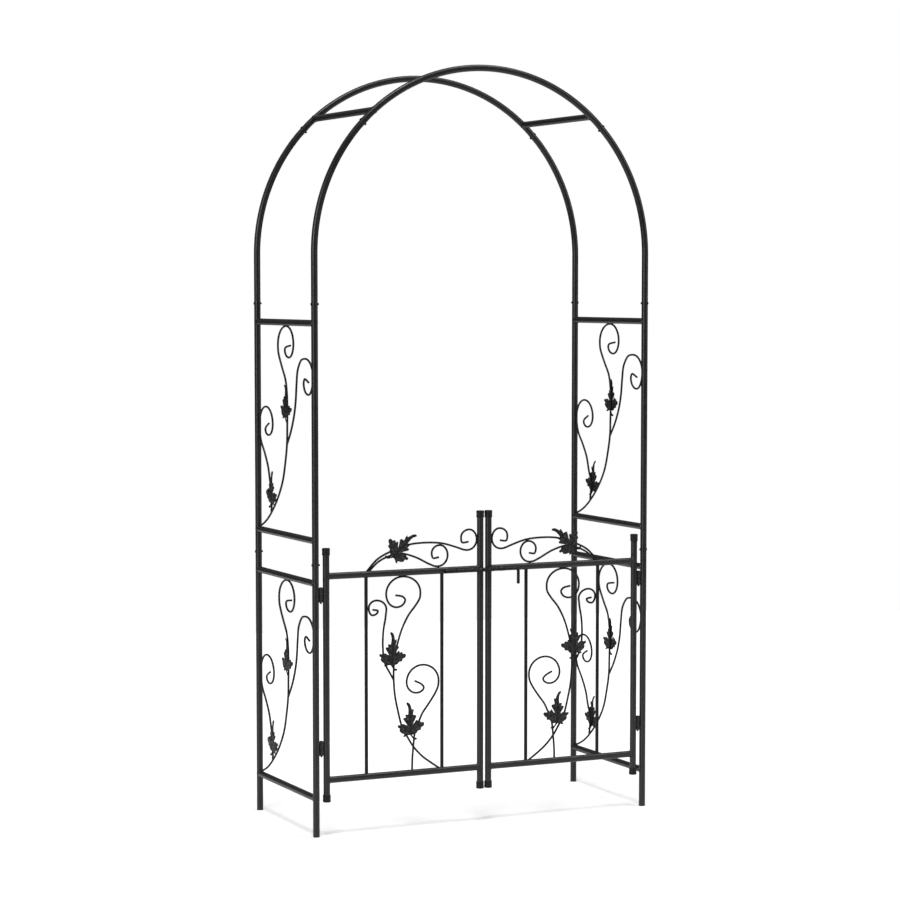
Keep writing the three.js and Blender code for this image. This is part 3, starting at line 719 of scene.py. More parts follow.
def frame_tubes(sizes):
    """Name, node and paths of each of the fourteen tubes."""
    gap, neck = sizes.clearance, sizes.spigot_neck
    spigot = spigot_length(sizes)
    share = (TUBE_RADIUS - sizes.tube_wall - gap) / TUBE_RADIUS
    for frame_name, y in FRAME_Y.items():
        for side_name, side in SIDES.items():
            lower = arch_line(0.0, LOWER_SEAM, y, side)
            yield f"{side_name}_{frame_name}_lower_post", [Path(lower)]

            start = LOWER_SEAM + gap
            upper = arch_line(start, UPPER_SEAM, y, side)
            joint = spigot_path(start, start - spigot, y, side, neck, share)
            yield f"{side_name}_{frame_name}_upper_post", [Path(upper), joint]

            start = UPPER_SEAM + gap
            bent = arch_line(start, CROWN_SEAM - spigot, y, side)
            bent.append(arch_place(CROWN_SEAM, y, side))
            joint = spigot_path(start, start - spigot, y, side, neck, share)
            yield f"{side_name}_{frame_name}_arch_side", [Path(bent), joint]

        start, end = CROWN_SEAM + gap, CROWN_END - gap
        joints = [
            spigot_path(seam, seam + reach, y, 1, neck, share)
            for seam, reach in ((start, -spigot), (end, spigot))
        ]
        yield f"{frame_name}_arch_crown", [Path(arch_line(start, end, y, 1)), *joints]


class GARDENARCH_OT_frame_tubes(bpy.types.Operator):
    """Make the tubes of the two frames, with the spigots that join them"""

    bl_idname = "garden_arch.frame_tubes"
    bl_label = "Frame Tubes"

    def execute(self, context):
        sizes = context.scene.garden_arch_sizes
        for node, paths in frame_tubes(sizes):
            tube = round_bar(
                f"{node}_tube", paths, TUBE_RADIUS, finish(TUBE_COAT), wall=sizes.tube_wall,
                edge=sizes.end_round,
            )
            hand_over(tube, "root", "coated_tube", node)
        return {"FINISHED"}


# Screws at the middle of each spigot

HEAD_DOME_SHARE = 0.35  # of the head's height
HEAD_RINGS, HEAD_SIDES = 10, 48
CROSS_WIDTH, CROSS_LENGTH, CROSS_DEPTH = 0.7 * MM, 2.5 * MM, 0.8 * MM
NUT_FLAT_SHARE = 0.9    # of the nut's radius, at its outer face
NUT_SIDES, THREAD_SIDES = 6, 20
THREAD_RADIUS, THREAD_REACH = 2 * MM, 0.6 * MM
SCREW_CHAMFER = 0.5 * MM


def add_screw_head(shape, seat, sizes):
    """Adds a domed head on its seat, with a cross sunk into it."""
    dome = sizes.screw_head_height * HEAD_DOME_SHARE
    rim = sizes.screw_head_height - dome
    previous = [shape.verts.new((0, 0, seat + sizes.screw_head_height - CROSS_DEPTH))]
    for ring in range(1, HEAD_RINGS + 1):
        radius = sizes.screw_head_radius * ring / HEAD_RINGS
        top = seat + rim + dome * math.sqrt(1 - (ring / HEAD_RINGS) ** 2)
        verts = []
        for column in range(HEAD_SIDES):
            angle = 2 * math.pi * column / HEAD_SIDES
            x, y = radius * math.cos(angle), radius * math.sin(angle)
            aside, along = sorted((abs(x), abs(y)))
            in_cross = aside < CROSS_WIDTH / 2 and along < CROSS_LENGTH / 2
            verts.append(shape.verts.new((x, y, top - (CROSS_DEPTH if in_cross else 0))))
        join_rings(shape, previous, verts)
        previous = verts
    foot = [shape.verts.new((v.co.x, v.co.y, seat - sizes.clearance)) for v in previous]
    join_rings(shape, previous, foot)
    shape.faces.new(foot)


def screw_shape(sizes):
    """A cross-head screw and its nut along +Z, as they sit across a tube at the origin."""
    shape = bmesh.new()
    seat = TUBE_RADIUS + sizes.clearance
    add_screw_head(shape, seat, sizes)
    nut_low = -seat - sizes.nut_height
    turn_profile(shape, [
        (0, nut_low), (sizes.nut_radius * NUT_FLAT_SHARE, nut_low),
        (sizes.nut_radius, nut_low + SCREW_CHAMFER),
        (sizes.nut_radius, sizes.clearance - seat), (0, sizes.clearance - seat),
    ], Vector(), sides=NUT_SIDES)
    thread_end = nut_low - THREAD_REACH
    turn_profile(shape, [
        (0, thread_end), (THREAD_RADIUS - SCREW_CHAMFER, thread_end),
        (THREAD_RADIUS, thread_end + SCREW_CHAMFER), (THREAD_RADIUS, nut_low), (0, nut_low),
    ], Vector(), sides=THREAD_SIDES)
    return shape


def screw_spots(sizes):
    """Where the screws cross the tubes, each with its head outwards."""
    half = spigot_length(sizes) / 2
    for y in FRAME_Y.values():
        for side in SIDES.values():
            for seam in (LOWER_SEAM, UPPER_SEAM, CROWN_SEAM):
                length = seam - half
                ends = [arch_place(length + way * half, y, side) for way in (-1, 1)]
                angle = arch_angle(length)
                outward = Vector((side * math.cos(angle), 0, math.sin(angle)))
                yield Spot((ends[0] + ends[1]) / 2, outward, 1.0)


class GARDENARCH_OT_frame_screws(bpy.types.Operator):
    """Make the screws and nuts that pin the spigots"""

    bl_idname = "garden_arch.frame_screws"
    bl_label = "Frame Screws"

    def execute(self, context):
        sizes = context.scene.garden_arch_sizes
        steel = finish(BLACK_OXIDE)
        template = solid_object("screw_template", screw_shape(sizes), steel)
        screws = copies("frame_screws", template, list(screw_spots(sizes)), steel)
        remove(template)
        hand_over(screws, "root", "hinge_steel")
        return {"FINISHED"}


# Bars whose ends are coped to the tubes that they meet

Bar = namedtuple("Bar", "node body start end neighbour_axis radius wall")


def crossbars(sizes):
    """The ten crossbars, between the axes of the front tube and the rear one."""
    for side_name, side in SIDES.items():
        for level in STRAIGHT_LEVELS:
            node = f"{side_name}_{level}_crossbar"
            ends = [Vector((side * HALF_WIDTH, y, middle(node).z)) for y in FRAME_Y.values()]
            yield Bar(node, "root", *ends, UP, TUBE_RADIUS, sizes.tube_wall)
        node = f"{side_name}_crown_crossbar"
        place = middle(node)
        outward = Vector((place.x, 0, place.z - SPRING_HEIGHT)).normalized()
        ends = [Vector((place.x, y, place.z)) for y in FRAME_Y.values()]
        yield Bar(node, "root", *ends, outward.cross(BACK), TUBE_RADIUS, sizes.tube_wall)


def gate_bars(sizes):
    """Rails and balusters of both leaves, between the axes of what they meet."""
    for side_name in SIDES:
        body = f"{side_name}_leaf"
        stiles = [
            middle(f"{side_name}_{stile}_stile_top_cap").x for stile in ("hinge", "meeting")
        ]
        for rail, height in (("bottom", BOTTOM_RAIL), ("top", TOP_RAIL)):
            ends = [Vector((x, FRONT_Y, height)) for x in stiles]
            node = f"{side_name}_{rail}_rail"
            yield Bar(node, body, *ends, UP, TUBE_RADIUS, sizes.tube_wall)
        for place in ("outer", "inner"):
            node = f"{side_name}_{place}_baluster"
            x = middle(node).x
            ends = [Vector((x, FRONT_Y, height)) for height in (BOTTOM_RAIL, TOP_RAIL)]
            yield Bar(node, body, *ends, ACROSS, size(node).x / 2, sizes.baluster_wall)


def coped_bar(bar, sizes):
    """Makes one bar, whose ends stand a clearance off the tubes that it meets."""
    reach = TUBE_RADIUS + sizes.clearance
    way = (bar.end - bar.start).normalized()
    coat_name = TUBE_COAT if bar.radius == TUBE_RADIUS else WIRE_COAT
    piece = round_bar(
        f"{bar.node}_tube", [Path([bar.start + way * reach, bar.end - way * reach])],
        bar.radius, finish(coat_name), wall=bar.wall, cope_radius=reach,
        neighbour_axis=bar.neighbour_axis,
    )
    hand_over(piece, bar.body, "coated_tube", bar.node)


class GARDENARCH_OT_crossbars(bpy.types.Operator):
    """Make the crossbars that join the front frame to the rear one"""

    bl_idname = "garden_arch.crossbars"
    bl_label = "Crossbars"

    def execute(self, context):
        sizes = context.scene.garden_arch_sizes
        for bar in crossbars(sizes):
            coped_bar(bar, sizes)
        return {"FINISHED"}


class GARDENARCH_OT_gate_frames(bpy.types.Operator):
    """Make the stiles, rails and balusters of both gate leaves"""

    bl_idname = "garden_arch.gate_frames"
    bl_label = "Gate Frames"

    def execute(self, context):
        sizes = context.scene.garden_arch_sizes
        for side_name in SIDES:
            for stile in ("hinge", "meeting"):
                node = f"{side_name}_{stile}_stile"
                x = middle(f"{node}_top_cap").x
                ends = [Vector((x, FRONT_Y, height)) for height in (low(node).z, high(node).z)]
                tube = round_bar(
                    f"{node}_tube", [Path(ends)], TUBE_RADIUS, finish(TUBE_COAT),
                    wall=sizes.tube_wall, edge=sizes.end_round,
                )
                hand_over(tube, f"{side_name}_leaf", "coated_tube", node)
        for bar in gate_bars(sizes):
            coped_bar(bar, sizes)
        return {"FINISHED"}


# Scroll panels: wires and leaves in shares of their panel's width and height

# A wire's stem, then the outermost places of its curl, then its tail. A flat curl starts level
# and any other starts upright.
Wire = namedtuple("Wire", "stem curl tail flat", defaults=(False,))
WIRES = {
    "gate": [
        Wire(
            stem=[
                (1.01, 0.01), (0.87, 0.047), (0.76, 0.079), (0.627, 0.134), (0.535, 0.19),
                (0.478, 0.226), (0.45, 0.258), (0.411, 0.318), (0.368, 0.398), (0.35, 0.477),
                (0.352, 0.551), (0.37, 0.607), (0.402, 0.66), (0.468, 0.737), (0.565, 0.807),
                (0.667, 0.855),
            ],
            curl=[(0.73, 0.918), (0.479, 1.002), (0.245, 0.916), (0.394, 0.848), (0.515, 0.885)],
            tail=[(0.48, 0.9), (0.376, 0.909)],
        ),
        Wire(
            stem=[
                (0.609, 0), (0.613, 0.068), (0.627, 0.134), (0.647, 0.2), (0.672, 0.237),
                (0.712, 0.265), (0.759, 0.302), (0.851, 0.349), (0.945, 0.402),
            ],
            curl=[(0.99, 0.463), (0.757, 0.548), (0.533, 0.463), (0.676, 0.407), (0.779, 0.434)],
            tail=[(0.75, 0.448), (0.647, 0.469)],
        ),
        Wire(
            stem=[
                (0.349, 0.481), (0.3, 0.514), (0.246, 0.551), (0.21, 0.588), (0.2, 0.63),
                (0.196, 0.676), (0.208, 0.741), (0.232, 0.79),
            ],
            curl=[(0.248, 0.841), (0.107, 0.888), (0, 0.851), (0.057, 0.814), (0.129, 0.836)],
            tail=[(0.053, 0.842)],
        ),
    ],
    "crest": [
        Wire(
            stem=[
                (0, -0.07), (0.1, 0.275), (0.209, 0.463), (0.286, 0.545), (0.389, 0.65),
                (0.543, 0.682), (0.686, 0.643), (0.806, 0.527),
            ],
            curl=[(0.92, 0.42), (1.004, 0.711), (0.934, 1), (0.86, 0.788)],
            tail=[(0.868, 0.643), (0.929, 0.653)],
            flat=True,
        ),
        Wire(
            stem=[
                (0.02, -0.07), (0.114, 0.215), (0.229, 0.375), (0.306, 0.415), (0.351, 0.39),
                (0.449, 0.28), (0.566, 0.08),
            ],
            curl=[(0.649, 0), (0.737, 0.306), (0.663, 0.595), (0.591, 0.373)],
            tail=[(0.603, 0.238), (0.657, 0.257)],
            flat=True,
        ),
    ],
    "side": [
        Wire(
            stem=[
                (1.03, 0.013), (0.962, 0.024), (0.861, 0.055), (0.76, 0.103), (0.653, 0.171),
                (0.557, 0.261), (0.506, 0.357), (0.477, 0.44), (0.471, 0.524), (0.467, 0.607),
                (0.474, 0.683), (0.5, 0.747), (0.566, 0.808), (0.619, 0.86),
            ],
            curl=[(0.639, 0.913), (0.482, 1.004), (0.351, 0.92), (0.435, 0.854), (0.51, 0.89)],
            tail=[(0.5, 0.9), (0.405, 0.912)],
        ),
        Wire(
            stem=[
                (0.483, 0.43), (0.401, 0.504), (0.343, 0.58), (0.313, 0.648), (0.297, 0.725),
                (0.275, 0.795), (0.215, 0.843),
            ],
            curl=[(0.134, 0.853), (0, 0.768), (0.083, 0.684), (0.167, 0.738)],
            tail=[(0.15, 0.757), (0.075, 0.742)],
            flat=True,
        ),
        Wire(
            stem=[
                (0.78, 0.095), (0.766, 0.184), (0.803, 0.247), (0.838, 0.315), (0.9, 0.379),
                (0.973, 0.44),
            ],
            curl=[(1, 0.518), (0.872, 0.608), (0.745, 0.525), (0.826, 0.47), (0.887, 0.498)],
            tail=[(0.875, 0.508), (0.817, 0.528)],
        ),
    ],
}

# A leaf's place, its turn from upright in degrees and the side that its tip curls to
Leaf = namedtuple("Leaf", "place turn tip_side")
LEAVES = {
    "gate": [Leaf((0.331, 0.602), 0, 1), Leaf((0.591, 0.241), 6, 1)],
    "crest": [Leaf((0.282, 0.515), -50, -1)],
    "side": [Leaf((0.475, 0.607), 0, -1), Leaf((0.762, 0.184), 8, 1)],
}

# Where the wires are welded, on the tubes beside the panel or on each other
WELDS = {
    "gate": [
        (1.0, 0.008), (0.479, 1.006), (-0.012, 0.851), (0.609, 0.006), (0.349, 0.481),
        (0.627, 0.134),
    ],
    "crest": [(0.005, -0.05), (1.009, 0.711), (0.649, -0.03)],
    "side": [
        (1.006, 0.02), (0.482, 1.005), (-0.006, 0.768), (1.006, 0.518), (0.483, 0.43),
        (0.78, 0.095),
    ],
}

# A panel's corner is its lower one where the wires' places are counted from, and across and
# outward are its directions
Panel = namedtuple("Panel", "kind node body corner across width height outward")
# The side panels' levels, each with the crossbars below and above it
SIDE_PANELS = (("lower", "foot", "waist"), ("upper", "sill", "shoulder"))

# The step between a wire's points, and the length and radius of a cut end, in the bar's radius
WIRE_STEP = 1.6
CUT_END_REACH, CUT_END_SHARE = 0.35, 0.7


def on_panel(panel, place, out=0.0):
    """A place on a panel in metres, from its shares of the panel's width and height."""
    across, up = place
    return (
        panel.corner + panel.across * (across * panel.width) + UP * (up * panel.height)
        + panel.outward * out
    )


def panels(sizes):
    """The eight panels that hold wires: four at the sides, and the scroll and crest of each
    gate leaf."""
    clear = sizes.clearance + sizes.wire_radius
    tube_to_wire = TUBE_RADIUS + clear
    for side_name, side in SIDES.items():
        for level, bar_low, bar_high in SIDE_PANELS:
            bottom = middle(f"{side_name}_{bar_low}_crossbar").z
            top = middle(f"{side_name}_{bar_high}_crossbar").z - tube_to_wire
            yield Panel(
                "side", f"{side_name}_{level}_side_scroll", "root",
                Vector((side * HALF_WIDTH, FRONT_Y + tube_to_wire, bottom)), BACK,
                REAR_Y - FRONT_Y - 2 * tube_to_wire, top - bottom, ACROSS * side,
            )
        outer, inner = (middle(f"{side_name}_{place}_baluster").x for place in ("outer", "inner"))
        reach = size(f"{side_name}_outer_baluster").x / 2 + clear
        yield Panel(
            "gate", f"{side_name}_gate_scroll", f"{side_name}_leaf",
            Vector((outer - side * reach, FRONT_Y, BOTTOM_RAIL)), -ACROSS * side,
            abs(inner - outer) - 2 * reach, TOP_RAIL - tube_to_wire - BOTTOM_RAIL, -BACK,
        )
        crest = f"{side_name}_crest_scroll"
        crest_low = TOP_RAIL + tube_to_wire
        meeting = middle(f"{side_name}_meeting_stile").x
        yield Panel(
            "crest", crest, f"{side_name}_leaf", Vector((outer, FRONT_Y, crest_low)),
            -ACROSS * side, abs(meeting - outer) - tube_to_wire,
            high(crest).z - sizes.wire_radius - crest_low, -BACK,
        )


def quarter_ellipse(start, end, flat, steps=9):
    """Points of a quarter turn from one outermost place of a curl to the next."""
    places = []
    for step in range(1, steps + 1):
        angle = step / steps * math.pi / 2
        eased = 1 - math.cos(angle)
        shares = (math.sin(angle), eased) if flat else (eased, math.sin(angle))
        places.append(tuple(a + (b - a) * share for a, b, share in zip(start, end, shares)))
    return places


def wire_places(wire):
    """A wire's places. Just before the curl, its stem has half of the curl's own bend."""
    flat = wire.flat
    first, second = wire.curl[:2]
    bend = quarter_ellipse(first, second, flat)[1]
    if flat:
        lead = (2 * first[0] - bend[0], (first[1] + bend[1]) / 2)
    else:
        lead = ((first[0] + bend[0]) / 2, 2 * first[1] - bend[1])
    places = [*wire.stem, lead, first]
    for start, end in zip(wire.curl, wire.curl[1:]):
        places += quarter_ellipse(start, end, flat)
        flat = not flat
    return places + wire.tail


def on_bow(start, leave, end, arrive, t):
    """A place on the cubic that leaves one point and arrives at the next at those slopes."""
    return (
        start * (2 * t ** 3 - 3 * t ** 2 + 1) + leave * (t ** 3 - 2 * t ** 2 + t)
        + end * (3 * t ** 2 - 2 * t ** 3) + arrive * (t ** 3 - t ** 2)
    )


def smooth_line(points, spacing):
    """A centripetal Catmull-Rom line through points, sampled at about that spacing."""
    ends = [2 * points[0] - points[1], *points, 2 * points[-1] - points[-2]]
    line = [points[0]]
    for before, start, end, after in zip(ends, ends[1:], ends[2:], ends[3:]):
        pairs = ((before, start), (start, end), (end, after))
        knots = [math.sqrt((b - a).length) for a, b in pairs]
        slope_in = (start - before) / knots[0] - (end - before) / (knots[0] + knots[1])
        slope_out = (after - end) / knots[2] - (after - start) / (knots[1] + knots[2])
        chord = (end - start) / knots[1]
        leave, arrive = (slope_in + chord) * knots[1], (slope_out + chord) * knots[1]
        count = max(1, round((end - start).length / spacing))
        line += [on_bow(start, leave, end, arrive, (step + 1) / count) for step in range(count)]
    return line


def cut_ends(points, radius):
    """A bar's path whose section shrinks over its last bit, as a sheared and coated end does."""
    chamfer = CUT_END_REACH * radius
    first, last = points[0], points[-1]
    after = first + (points[1] - first).normalized() * chamfer
    before = last + (points[-2] - last).normalized() * chamfer
    shares = [CUT_END_SHARE, *[1.0] * len(points), CUT_END_SHARE]
    return Path([first, after, *points[1:-1], before, last], shares)


def wires(panel, sizes):
    """The paths of a panel's wires."""
    spacing = WIRE_STEP * sizes.wire_radius
    for wire in WIRES[panel.kind]:
        points = [on_panel(panel, place) for place in wire_places(wire)]
        yield cut_ends(smooth_line(points, spacing), sizes.wire_radius)


# A stamped leaf in shares of its span, round its weld, with its tip curling to the left. Its
# outline runs clockwise from the tip.

LEAF_OUTLINE = [
    (-0.11, 0.79), (-0.06, 0.82), (0.01, 0.77), (0.05, 0.68), (0.07, 0.59), (0.09, 0.54),
    (0.14, 0.57), (0.14, 0.49), (0.11, 0.41), (0.11, 0.36), (0.17, 0.35), (0.22, 0.3),
    (0.19, 0.24), (0.06, 0.06), (0.12, 0.09), (0.19, 0.17), (0.24, 0.16), (0.25, 0.1),
    (0.3, 0.13), (0.34, 0.12), (0.37, 0.06), (0.45, 0.06), (0.49, 0.01), (0.47, -0.05),
    (0.42, -0.09), (0.36, -0.11), (0.34, -0.19), (0.23, -0.2), (0.17, -0.27), (0.08, -0.3),
    (-0.01, -0.3), (0.06, -0.41), (0.15, -0.43), (0.16, -0.49), (0.04, -0.48), (-0.08, -0.3),
    (-0.19, -0.3), (-0.26, -0.33), (-0.33, -0.31), (-0.28, -0.25), (-0.38, -0.18),
    (-0.44, -0.1), (-0.42, -0.02), (-0.49, 0.03), (-0.47, 0.11), (-0.39, 0.09), (-0.29, 0.12),
    (-0.15, 0.05), (-0.27, 0.27), (-0.23, 0.32), (-0.17, 0.31), (-0.18, 0.4), (-0.14, 0.42),
    (-0.08, 0.4), (-0.05, 0.55), (-0.06, 0.68),
]
MIDRIB = [(0.1, -0.46), (-0.03, -0.32), (-0.04, -0.15), (-0.04, 0.1), (0.0, 0.45), (-0.05, 0.78)]
SIDE_VEINS = [
    [(-0.03, -0.2), (0.1, -0.24), (0.3, -0.17)],
    [(-0.04, -0.14), (0.2, -0.07), (0.45, -0.01)],
    [(-0.04, -0.07), (0.12, 0.02), (0.22, 0.13)],
    [(-0.04, 0.1), (0.08, 0.23), (0.18, 0.3)],
    [(-0.01, 0.34), (0.06, 0.43), (0.12, 0.53)],
    [(-0.03, -0.2), (-0.16, -0.27), (-0.29, -0.3)],
    [(-0.04, -0.15), (-0.2, -0.13), (-0.4, -0.11)],
    [(-0.04, -0.09), (-0.22, -0.01), (-0.46, 0.05)],
    [(-0.04, 0.08), (-0.13, 0.19), (-0.22, 0.28)],
    [(-0.02, 0.26), (-0.09, 0.33), (-0.14, 0.39)],
]
VEIN_WIDTH, MIDRIB_WIDTH, RIM_WIDTH = 0.022, 0.0308, 0.03
SIDE_VEIN_SHARE, RIM_SHARE = 0.75, 0.9    # of the midrib's depth
CORNER_EASE = 0.3                         # of the way between a corner's neighbours
GRID_STEP = 0.024
DOME_MIDDLE, DOME_WIDTH, DOME_HEIGHT = 0.08, 0.52, 0.7
TIP_START, TIP_LENGTH = 0.45, 0.37
FLUTTER_SHARE = 0.25                      # of the dome's bulge, at the leaf's edge
FLUTTER_ACROSS, FLUTTER_UP = 17, 15       # in radians over the leaf's span


def rounded_outline(outline, parts=3):
    """The outline with each corner eased by a Catmull-Rom line, as a press die leaves it."""
    points = [Vector((x, y, 0)) for x, y in outline]
    around = [points[-2], points[-1], *points, points[0], points[1]]
    eased = []
    for before, start, end, after in zip(around[1:], around[2:], around[3:], around[4:]):
        leave, arrive = (end - before) * CORNER_EASE, (after - start) * CORNER_EASE
        eased += [on_bow(start, leave, end, arrive, part / parts) for part in range(parts)]
    return [point.to_2d() for point in eased]


def is_inside(point, outline):
    """True where a line from the point to the right crosses the outline an odd number of times."""
    crossings = 0
    for start, end in zip(outline, outline[1:] + outline[:1]):
        if (start.y > point.y) != (end.y > point.y):
            at = start.x + (point.y - start.y) / (end.y - start.y) * (end.x - start.x)
            crossings += at > point.x
    return crossings % 2 == 1


def distance_to_line(point, line):
    least = math.inf
    for start, end in zip(line, line[1:]):
        along = end - start
        t = max(0.0, min(1.0, (point - start).dot(along) / along.length_squared))
        least = min(least, (point - start - along * t).length)
    return least


def pressed_lines(ring):
    """The lines that the stamping presses down, each with its width and share of the depth."""
    lines = [(MIDRIB, MIDRIB_WIDTH, 1.0), (ring, RIM_WIDTH, RIM_SHARE)]
    lines += [(vein, VEIN_WIDTH, SIDE_VEIN_SHARE) for vein in SIDE_VEINS]
    return [([Vector(place) for place in line], width, share) for line, width, share in lines]


def vein_share(point, pressed):
    """How much of a vein's depth lies at a point of the leaf, from 0 to 1."""
    return max(
        share * math.exp(-((distance_to_line(point, line) / width) ** 2))
        for line, width, share in pressed
    )


def leaf_sheet():
    """Points, triangles and vein shares of a flat leaf."""
    outline = rounded_outline(LEAF_OUTLINE)
    ring = outline + outline[:1]
    inner = []
    columns, rows = (
        range(math.floor(min(values) / GRID_STEP), math.ceil(max(values) / GRID_STEP) + 1)
        for values in zip(*outline)
    )
    for column in columns:
        for row in rows:
            stagger = GRID_STEP / 2 if row % 2 else 0.0
            point = Vector((column * GRID_STEP + stagger, row * GRID_STEP))
            if is_inside(point, outline) and distance_to_line(point, ring) > GRID_STEP / 2:
                inner.append(point)
    points, _, triangles, *_ = delaunay_2d_cdt(
        outline + inner, [], [list(range(len(outline)))], 1, 1e-5
    )
    pressed = pressed_lines(ring)
    return points, triangles, [vein_share(point, pressed) for point in points]


def leaf_height(point, vein, sizes):
    """How far a point of the leaf stands out of its sheet: dome, pressed veins, curled tip."""
    fall = min(1.0, (point.x / DOME_WIDTH) ** 2 + ((point.y - DOME_MIDDLE) / DOME_HEIGHT) ** 2)
    tip = max(0.0, (point.y - TIP_START) / TIP_LENGTH)
    waves = math.sin(FLUTTER_ACROSS * point.x + 3) * math.sin(FLUTTER_UP * point.y)
    flutter = waves * FLUTTER_SHARE * fall
    return (
        sizes.leaf_dome * (1 - fall + flutter) - sizes.vein_depth * vein
        + sizes.leaf_curl * tip ** 2
    )


def add_leaf(shape, sheet, leaf, panel, sizes):
    """Adds one leaf to a bmesh, on its panel's outward side."""
    points, triangles, veins = sheet
    seat = sizes.wire_radius - sizes.leaf_seat + sizes.leaf_thickness / 2
    layer = shape.verts.layers.float.get("vein") or shape.verts.layers.float.new("vein")
    turn = math.radians(leaf.turn)
    centre = on_panel(panel, leaf.place, seat)
    corners = []
    for point, vein in zip(points, veins):
        x, z = leaf.tip_side * point.x, point.y
        aside = (x * math.cos(turn) - z * math.sin(turn)) * sizes.leaf_span
        rise = (x * math.sin(turn) + z * math.cos(turn)) * sizes.leaf_span
        height = leaf_height(point, vein, sizes)
        corner = shape.verts.new(
            centre + panel.across * aside + UP * rise + panel.outward * height
        )
        # The vein share also masks the painted shade in the veins and along the rim
        corner[layer] = vein
        corners.append(corner)
    for triangle in triangles:
        shape.faces.new([corners[index] for index in triangle])


class GARDENARCH_OT_scrolls(bpy.types.Operator):
    """Make the scrolled wires and stamped leaves of one kind of panel"""

    bl_idname = "garden_arch.scrolls"
    bl_label = "Scrolls and Leaves"

    kind: EnumProperty(
        name="Kind",
        description="Which panels are made",
        items=[
            ("side", "Side", "The four panels at the arch's sides"),
            ("gate", "Gate", "The scrolls between the gate's balusters"),
            ("crest", "Crest", "The scrolls above the gate's top rails"),
        ],
        default="side",
    )

    def execute(self, context):
        sizes = context.scene.garden_arch_sizes
        sheet = leaf_sheet()
        for panel in panels(sizes):
            if panel.kind != self.kind:
                continue
            lines = round_bar(
                f"{panel.node}_wires", list(wires(panel, sizes)), sizes.wire_radius,
                finish(WIRE_COAT), sides=14,
            )
            hand_over(lines, panel.body, "coated_wire", panel.node)
            shape = bmesh.new()
            for leaf in LEAVES[panel.kind]:
                add_leaf(shape, sheet, leaf, panel, sizes)
            leaves = shape_object(f"{panel.node}_leaves", shape, finish(LEAF_COAT))
            give_wall(leaves, sizes.leaf_thickness, offset=0.0)
            round_edges(leaves, sizes.end_round, segments=1)
            hand_over(settle(leaves), panel.body, "coated_wire", panel.node)
        return {"FINISHED"}


# Hinges: the leaf's knuckle turns between the two on the post

POST_KNUCKLE_SHARE = 0.29  # of a hinge's height
# A pin's tip in shares of its radius, and its head in shares of its own radius and height
PIN_TIP = ((0.45, 0), (0.85, 0.25), (1, 0.6))
PIN_HEAD = ((1, 0), (1, 0.45), (0.85, 0.8), (0.45, 1))
Hinge = namedtuple("Hinge", "side level axis low high leaf_low leaf_high")


def hinges(sizes):
    """The four hinges, with the heights between which their knuckles lie."""
    for side_name in SIDES:
        for level in HINGE_LEVELS:
            pin = f"{side_name}_{level}_hinge_pin"
            bottom = low(pin).z + sizes.pin_tip
            top = high(pin).z - sizes.pin_head - sizes.clearance
            post_part = POST_KNUCKLE_SHARE * (top - bottom)
            yield Hinge(
                side_name, level, middle(pin), bottom, top, bottom + post_part, top - post_part
            )


def add_knuckle(shape, hinge, bottom, top, way, sizes):
    """Adds a knuckle and its web, which reaches along X to the tube on that side."""
    axis = Vector((hinge.axis.x, hinge.axis.y, 0))
    bore = sizes.pin_radius + sizes.clearance
    turn_profile(shape, [
        (bore, bottom), (sizes.knuckle_radius, bottom), (sizes.knuckle_radius, top), (bore, top),
    ], axis)
    half = sizes.web_thickness / 2
    # The axis lies midway between the post's and the stile's
    tube_apart = abs(abs(hinge.axis.x) - HALF_WIDTH)
    near = sizes.pin_radius + 2 * sizes.clearance
    far = tube_apart - TUBE_RADIUS + sizes.tube_wall / 2
    across = sorted((axis.x + way * near, axis.x + way * far))
    add_block(
        shape, Vector((across[0], axis.y - half, bottom)), Vector((across[1], axis.y + half, top))
    )


class GARDENARCH_OT_hinges(bpy.types.Operator):
    """Make the knuckles on the posts and the gate, and the pins through them"""

    bl_idname = "garden_arch.hinges"
    bl_label = "Hinges"

    def execute(self, context):
        sizes = context.scene.garden_arch_sizes
        gap = sizes.clearance
        for side_name, side in SIDES.items():
            on_post, on_leaf = bmesh.new(), bmesh.new()
            for hinge in hinges(sizes):
                if hinge.side != side_name:
                    continue
                add_knuckle(on_post, hinge, hinge.low, hinge.leaf_low, side, sizes)
                add_knuckle(on_post, hinge, hinge.leaf_high, hinge.high, side, sizes)
                add_knuckle(
                    on_leaf, hinge, hinge.leaf_low + gap, hinge.leaf_high - gap, -side, sizes
                )
                self.add_pin(hinge, sizes)
            for place, shape, body, tube in (
                ("post", on_post, "root", "front_lower_post"),
                ("leaf", on_leaf, f"{side_name}_leaf", "hinge_stile"),
            ):
                knuckles = solid_object(
                    f"{side_name}_{place}_hinge_knuckles", shape, finish(TUBE_COAT),
                    edge=sizes.end_round,
                )
                hand_over(knuckles, body, "coated_tube", f"{side_name}_{tube}")
        return {"FINISHED"}

    def add_pin(self, hinge, sizes):
        node = f"{hinge.side}_{hinge.level}_hinge_pin"
        radius, head = sizes.pin_radius, size(node).x / 2
        tip, seat, top = low(node).z, hinge.high + sizes.clearance, high(node).z
        profile = [
            (0, tip),
            *((radius * share, tip + radius * rise) for share, rise in PIN_TIP),
            (radius, seat),
            *((head * share, seat + (top - seat) * rise) for share, rise in PIN_HEAD),
            (0, top),
        ]
        shape = bmesh.new()
        turn_profile(shape, profile, Vector((hinge.axis.x, hinge.axis.y, 0)))
        pin = solid_object(f"{node}_steel", shape, finish(BLACK_OXIDE), edge=sizes.pin_edge)
        hand_over(pin, "root", "hinge_steel", node)


# Caps pushed over the stiles' ends

CAP_ROUND_STEPS = 4
CAP_WAIST_DEPTH = 0.35 * MM
# Levels below the closed end, in shares of the cap's depth: the waist sinks in between the first
# two and comes out between the last two
CAP_WAIST = (0.3, 0.36, 0.84, 0.9)


